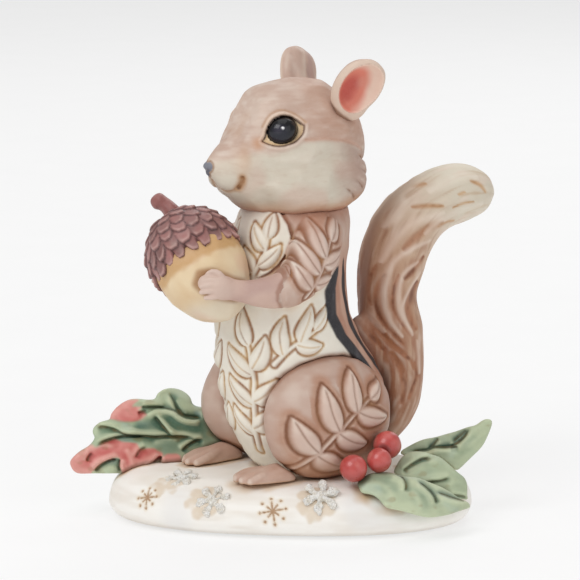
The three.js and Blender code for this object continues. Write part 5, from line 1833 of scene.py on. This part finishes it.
HOLLY = {
    "holly_leaf_front": dict(
        outline=[
            (16.6, 9.3), (18.1, 10.6), (20.3, 11.7), (23.2, 11.9), (26.1, 11.7), (28.2, 10.9),
            (31.9, 10.5), (35.0, 9.4), (37.9, 8.2), (40.6, 6.6), (42.9, 5.1), (45.1, 4.0), (45.5, 2.7),
            (44.0, 2.3), (42.4, 1.9), (39.0, 1.1), (35.0, 0.6), (32.4, 1.1), (28.7, 2.1), (26.1, 2.7),
            (23.9, 3.3), (22.6, 4.8), (21.8, 5.6), (20.3, 6.4), (17.9, 6.7), (17.3, 7.7),
        ],
        folds=[
            ([(28.9, 7.0), (29.0, 9.0), (28.0, 10.7), (25.3, 11.9)], 0.8, 0.45),
            ([(36.7, 3.9), (36.0, 6.0), (34.4, 7.8), (31.6, 9.9)], 0.9, 0.5),
            ([(44.3, 4.4), (41.6, 5.1), (39.3, 5.9), (36.3, 7.1)], 0.6, 0.3),
        ],
        ridges=[
            ([(17.3, 8.5), (20.0, 9.1), (22.6, 9.1), (25.0, 7.5), (26.1, 3.8)], 0.3),
            ([(29.8, 7.5), (31.9, 5.6), (32.9, 2.2)], 0.3),
            ([(37.1, 5.6), (39.8, 4.3), (42.9, 3.3)], 0.3),
        ],
        shade=[
            (18.4, 10.0), (20.3, 11.7), (26.1, 12.0), (28.2, 10.6), (27.6, 10.1), (24.5, 10.4),
            (20.3, 10.2),
        ],
    ),
    "holly_leaf_middle": dict(
        outline=[
            (25.9, 11.3), (27.0, 13.2), (28.6, 15.3), (30.7, 16.4), (33.9, 16.5), (36.3, 15.7),
            (38.7, 14.9), (40.9, 13.0), (42.5, 11.4), (44.4, 10.0), (45.0, 8.4), (45.0, 5.7), (45.5, 4.4),
            (44.3, 4.3), (42.2, 4.8), (40.9, 4.3), (38.5, 5.2), (35.5, 5.8), (32.3, 7.8), (28.8, 9.3),
        ],
        folds=[
            ([(28.3, 11.6), (31.2, 13.5), (33.6, 14.6), (36.2, 14.8)], 0.7, 0.35),
            ([(33.4, 8.5), (35.5, 9.1), (38.2, 9.4), (41.1, 10.2)], 0.5, 0.3),
            ([(40.6, 5.7), (43.0, 5.6), (45.0, 5.0)], 0.6, 0.3),
        ],
        ridges=[
            ([(28.6, 11.1), (31.8, 12.7), (35.5, 14.0), (38.7, 13.7)], 0.35),
            ([(35.0, 7.9), (38.2, 8.4), (42.2, 8.4)], 0.25),
            ([(30.2, 15.3), (32.8, 15.9), (35.5, 15.3)], 0.25),
        ],
        shade=[
            (25.9, 11.3), (27.0, 13.2), (28.6, 15.1), (30.2, 14.5), (28.6, 12.1), (27.5, 10.5),
        ],
    ),
    "holly_leaf_back": dict(
        outline=[
            (27.8, 15.4), (28.6, 16.6), (31.6, 18.2), (34.8, 19.4), (38.0, 20.0), (41.3, 21.0),
            (45.6, 22.4), (47.6, 22.9), (49.4, 24.2), (50.7, 24.6), (51.9, 24.2), (52.0, 23.0),
            (51.0, 20.3), (49.4, 17.3), (46.3, 14.3), (42.9, 11.2), (41.3, 12.3), (39.1, 14.1),
            (35.9, 14.9), (30.5, 14.9),
        ],
        folds=[
            ([(46.4, 22.2), (44.3, 19.5), (41.3, 17.5), (37.2, 17.2), (35.1, 16.5), (32.1, 16.2),
                (29.1, 15.9)], 0.8, 0.4),
            ([(38.2, 19.6), (36.8, 17.9), (35.6, 16.7)], 0.5, 0.2),
            ([(45.5, 21.7), (43.0, 19.7), (41.7, 18.4)], 0.5, 0.2),
            ([(41.0, 17.3), (43.3, 17.5)], 0.4, 0.2),
        ],
        ridges=[
            ([(41.6, 17.1), (45.3, 17.6), (48.8, 19.8), (51.0, 22.7)], 0.4),
            ([(35.9, 15.4), (39.9, 16.0), (44.0, 15.2)], 0.25),
        ],
        shade=[
            (27.8, 15.4), (28.6, 16.6), (31.6, 18.2), (34.8, 19.4), (38.0, 20.0), (41.3, 21.0),
            (45.9, 22.5), (46.4, 22.1), (44.3, 19.5), (41.3, 17.5), (37.2, 17.2), (35.1, 16.5),
            (32.1, 16.2), (29.1, 15.7),
        ],
    ),
}
HOLLY_GREENS = {  # light, middle and deep
    "holly_leaf_front": (srgb(176, 188, 156), srgb(142, 162, 136), srgb(92, 122, 100)),
    "holly_leaf_middle": (srgb(156, 172, 140), srgb(122, 148, 126), srgb(76, 108, 86)),
    "holly_leaf_back": (srgb(154, 170, 138), srgb(122, 146, 122), srgb(64, 96, 78)),
}


def make_holly(node, leaf):
    name = node[0].upper() + node[1:]
    noise = Noise(111 + len(node))
    clay = Clay.around(WORLD, [node], voxel=0.28, margin=4.0)
    clay.smooth(0.6, 0.1)
    shape_leaf(clay, node, leaf, 1.7, 1.6)
    clear_of_mound(clay)
    p, faces = clay.surface()
    colour = leaf_paint(clay, p, noise, leaf, *HOLLY_GREENS[node])
    others = ["berry_1", "berry_2", "berry_3", "snow_mound"]
    colour = contact(colour, clay, p, others, (66, 72, 46), 1.8, 0.8)
    others = [other for other in HOLLY if other != node]
    colour = contact(colour, clay, p, others, (70, 84, 60), 1.5, 0.7)
    cast(name, p, faces, WORLD, colour, painted(name.lower() + "_paint", (0.42, 0.58)))


def make_berry(number):
    node = f"berry_{number}"
    noise = Noise(120 + number)
    low, high = box_mm(node)
    radius = BERRY_RADII[number]
    middle = vec((low[0] + high[0]) / 2, (low[1] + high[1]) / 2, high[2] - radius)
    right, up = BERRY_SHIFT[number]
    middle = middle + ACROSS * right + UPWARD * up
    clay = Clay(WORLD, middle - radius - 1.5, middle + radius + 1.5, 0.22)
    clay.add(Ball(middle, radius), 0)
    clay.facets(noise, (3, 3, 3), 9, 0.35)
    clay.smooth(0.4)
    eye = middle + unit(BERRY_EYES[number]) * radius
    clay.cut(Ball(eye, 0.45), 0.5)
    clear_of_mound(clay)
    p, faces = clay.surface()
    colour = mix(srgb(186, 70, 66), srgb(204, 94, 88), smoothstep(-0.4, 0.5, noise(p, 2.6, 2)))
    colour = layers(
        colour,
        ((224, 150, 138), smoothstep(0.2, 0.9, noise(p + 8, 3)) * 0.4),
        # Painted shade: darker red low on the berry
        ((146, 52, 46), smoothstep(0.2, -0.9, (p - middle)[:, 2] / radius) * 0.6),
    )
    others = [f"berry_{k}" for k in (1, 2, 3) if k != number] + ["haunch_left", "snow_mound"]
    colour = contact(colour, clay, p, others, (112, 40, 36), 1.1, 0.8)
    colour = mix(colour, srgb(84, 32, 28), smoothstep(0.8, 0.35, np.linalg.norm(p - eye, axis=1)))
    material = painted(node + "_paint", (0.26, 0.36), coat=0.35, grain=0.02, mottle=0.05, specular=0.5)
    cast(f"Berry_{number}", p, faces, WORLD, colour, material)


BERRY_RADII = {1: 3.6, 2: 3.15, 3: 3.5}
BERRY_EYES = {1: vec(0.75, 0.6, 0.3), 2: vec(0.5, 0.7, 0.5), 3: vec(-0.5, 0.8, 0.3)}
BERRY_SHIFT = {1: (1.2, -0.9), 2: (-0.1, -1.0), 3: (-0.1, 1.0)}  # from the CAD's berries to the right and up


# Snow
ENGRAVED = [  # scratched stars: middle, which way the snow faces there, and size
    (vec(-34.4, -19.9, 8.2), vec(-0.35, -0.62, 0.7), 2.7),
    (vec(-1.6, -28.2, 7.4), vec(-0.02, -0.86, 0.5), 3.3),
]


def star_distance(uv, size):
    """Distance to the thin strokes of a scratched star, with a dot beyond each other one."""
    best = np.full(len(uv), 9.0)
    for k in range(8):
        a = math.pi * k / 4 + 0.2
        way = vec(math.cos(a), math.sin(a))
        reach = size * (0.72 if k % 2 == 0 else 0.55)
        best = np.minimum(best, line_distance(uv, [way * 0.2, way * reach])[0])
        best = np.minimum(best, np.hypot(*(uv - way * size).T) - 0.12)
    return best


def star_uv(p, middle, normal):
    """Places on the flat pattern of a scratched star, and the height over it."""
    normal = unit(normal)
    u = unit(np.cross(UP, normal))
    v = np.cross(normal, u)
    q = p - middle
    return np.stack([q @ u, q @ v], -1), q @ normal


def engraved_lines(p):
    """Distance to the nearest scratched line."""
    best = np.full(len(p), 9.0)
    for middle, normal, size in ENGRAVED:
        uv, out = star_uv(p, middle, normal)
        near = np.nonzero((np.abs(uv).max(1) < size + 1) & (np.abs(out) < 3.5))[0]
        best[near] = np.minimum(best[near], star_distance(uv[near], size))
    return best


def make_mound():
    noise = Noise(131)
    clay = Clay.around(WORLD, ["snow_mound"], voxel=0.36, margin=2.5)
    clay.smooth(0.9, 0.15)

    def lumps(p):
        side = smoothstep(1.5, 5, p[:, 2])
        h = 0.3 * noise(p, (16, 12, 7)) + 0.12 * noise(p + 40, (7, 7, 3))
        return h * side - 0.35 * smoothstep(0.32, 0.02, engraved_lines(p))

    clay.raise_by(lumps)
    p, faces = clay.surface()
    colour = mix(srgb(252, 249, 243), srgb(242, 236, 227), smoothstep(-0.3, 0.7, noise(p, (9, 9, 1.6), 2)))
    colour = mix(colour, srgb(236, 234, 232), smoothstep(0.2, 0.8, noise(p + 15, 12)) * 0.6)
    near = gap_to(clay, p, ["haunch_left", "haunch_right", "foot_left", "foot_right", "torso", "tail"])
    colour = mix(colour, srgb(214, 182, 140), smoothstep(2.6, 0.3, near + 0.8 * noise(p, 3)) * 0.6)
    leaves = gap_to(clay, p, ["oak_leaf", "holly_leaf_front", "holly_leaf_middle", "holly_leaf_back"])
    colour = mix(colour, srgb(200, 152, 92), smoothstep(2.8, 0.3, leaves + 1.4 * noise(p, 3)) * 0.75)
    flakes = gap_to(clay, p, [f"snowflake_{k}" for k in (1, 2, 3, 4)] + ["berry_2", "berry_3"])
    colour = mix(colour, srgb(206, 172, 122), smoothstep(1.1, 0.2, flakes + 0.5 * noise(p, 1.5)) * 0.45)
    lines = engraved_lines(p)
    colour = layers(
        colour,
        ((232, 214, 184), smoothstep(0.9, 0.3, lines) * 0.5),
        ((166, 122, 78), smoothstep(0.36, 0.12, lines) * 0.85),
        # Painted shade: greyer low on the mound
        ((190, 180, 168), smoothstep(2.2, 0.6, p[:, 2]) * 0.5),
    )
    cast("Snow_mound", p, faces, WORLD, colour, painted("snow_paint", (0.5, 0.68), mottle=0.04))


def glitter():
    """White paste with coarse glass grains that catch the light."""
    m = Nodes("glitter_paste")
    grain = m.new("TexVoronoi", {"Vector": m.new("TexCoord").outputs["Object"], "Scale": 2600.0})
    colour = m.mix(m.ramp(m.noise(900), 0.4, 0.7), srgb(255, 253, 248), srgb(240, 232, 216))
    colour = m.mix(m.ramp(m.noise(500), 0.6, 0.8, 0, 0.4), colour, srgb(214, 188, 146))
    normal = m.bump(grain.outputs["Distance"], 0.9, 0.0005)
    rough = m.ramp(grain.outputs["Distance"], 0.1, 0.6, 0.12, 0.5)
    m.shader(**{"Base Color": colour, "Roughness": rough, "Normal": normal})
    return m.material


# From the CAD's snowflakes to these
FLAKE_SHIFT = {1: vec(2.5, 0.1, -0.1), 2: vec(1.2, 1.1, 1.3), 3: vec(3.6, 2.0, 0.7), 4: vec(0, 0, 0)}


def make_flake(number, material):
    node = f"snowflake_{number}"
    noise = Noise(140 + number)
    clay = Clay.around(WORLD, [node], voxel=0.17, margin=1.2)
    clay.smooth(0.2, 0.12)
    clay.raise_by(lambda p: 0.34 * noise(p, 1.1) + 0.2 * noise(p + 20, 0.6), 1.0)
    clay.smooth(0.12)
    p, faces = clay.surface()
    p = p + FLAKE_SHIFT[number]
    cast(f"Snowflake_{number}", p, faces, WORLD, None, material)


def felt():
    m = Nodes("felt_fibres")
    fibre = m.noise(1800, 5, 0.7, (1, 0.25, 1))
    cross = m.noise(1500, 5, 0.7, (0.25, 1, 1))
    colour = m.mix(m.ramp(fibre, 0.3, 0.7), srgb(132, 146, 130), srgb(160, 172, 154))
    colour = m.mix(m.ramp(cross, 0.4, 0.7, 0, 0.6), colour, srgb(112, 124, 112))
    normal = m.bump(fibre, 0.6, 0.0005)
    m.shader(**{"Base Color": colour, "Roughness": 0.95, "Normal": normal, "Sheen Weight": 0.4})
    return m.material


# Stage
FLOOR_SIZE, FLOOR_DROP, FLOOR_GLOW = 12.0, 0.0002, 0.62
CAMERA_TARGET, CAMERA_DISTANCE, CAMERA_LENS, CAMERA_SENSOR = vec(0, 0, 0.0585), 0.9, 219, 36
LAMP_TARGET = Vector((0, 0, 0.05))
LAMPS = [  # name, place, power and size
    ("Key", (-0.55, -0.75, 0.95), 6.2, 0.7), ("Fill", (0.85, -0.7, 0.45), 1.6, 0.8),
    ("Back", (0.2, 0.9, 0.8), 3.0, 0.8), ("Top", (0, 0, 1.2), 2.4, 0.9),
]
SKY_STRENGTH = 0.42


def make_floor():
    half = FLOOR_SIZE / 2
    mesh = bpy.data.meshes.new("Floor")
    corners_at = [(-half, -half, 0), (half, -half, 0), (half, half, 0), (-half, half, 0)]
    mesh.from_pydata(corners_at, [], [(0, 1, 2, 3)])
    floor = bpy.data.objects.new("Floor", mesh)
    floor.location = (0, 0, -FLOOR_DROP)
    bpy.context.scene.collection.objects.link(floor)
    m = Nodes("floor_paper")
    grey = m.mix(m.noise(40, 2), (0.34, 0.34, 0.34), (0.36, 0.36, 0.36))
    glow = {"Emission Color": (1, 1, 1, 1), "Emission Strength": FLOOR_GLOW}  # a table lit from below
    m.shader(**{"Base Color": grey, "Roughness": 0.9, "Specular IOR Level": 0.1, **glow})
    floor.data.materials.append(m.material)


def make_camera():
    data = bpy.data.cameras.new("Camera")
    data.lens, data.sensor_width = CAMERA_LENS, CAMERA_SENSOR
    data.clip_start, data.clip_end = 0.05, 30
    camera = bpy.data.objects.new("Camera", data)
    camera.location = CAMERA_TARGET + TOWARDS * CAMERA_DISTANCE
    camera.rotation_mode = "QUATERNION"
    camera.rotation_quaternion = Vector(-TOWARDS).to_track_quat("-Z", "Y")
    bpy.context.scene.collection.objects.link(camera)
    bpy.context.scene.camera = camera


def make_lights():
    for name, place, power, size in LAMPS:
        light = bpy.data.lights.new(name, "AREA")
        light.energy, light.size = power, size
        lamp = bpy.data.objects.new(name, light)
        lamp.location = place
        lamp.rotation_mode = "QUATERNION"
        lamp.rotation_quaternion = (LAMP_TARGET - Vector(place)).to_track_quat("-Z", "Y")
        bpy.context.scene.collection.objects.link(lamp)
    world = bpy.data.worlds.new("Studio")
    world.use_nodes = True
    world.node_tree.nodes["Background"].inputs["Color"].default_value = (1, 1, 1, 1)
    world.node_tree.nodes["Background"].inputs["Strength"].default_value = SKY_STRENGTH
    bpy.context.scene.world = world
    bpy.context.scene.view_settings.view_transform = "Standard"


SIDES = ((1, "left"), (-1, "right"))
make_floor()
make_camera()
make_lights()
make_head()
for side, hand in SIDES:
    make_eye(side, "Eye_" + hand)
for side, hand in SIDES:
    make_ear(side, "Ear_" + hand)
make_torso()
make_tail()
for side, hand in SIDES:
    make_arm(side, "Arm_" + hand)
    make_haunch(side, "Haunch_" + hand)
    make_foot(side, "Foot_" + hand)
make_cap()
make_stem()
make_nut()
make_oak_leaf()
for node, leaf in HOLLY.items():
    make_holly(node, leaf)
for number in (1, 2, 3):
    make_berry(number)
make_mound()
paste = glitter()
for number in (1, 2, 3, 4):
    make_flake(number, paste)
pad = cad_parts["felt_pad"]
pad.data.materials.clear()
pad.data.materials.append(felt())
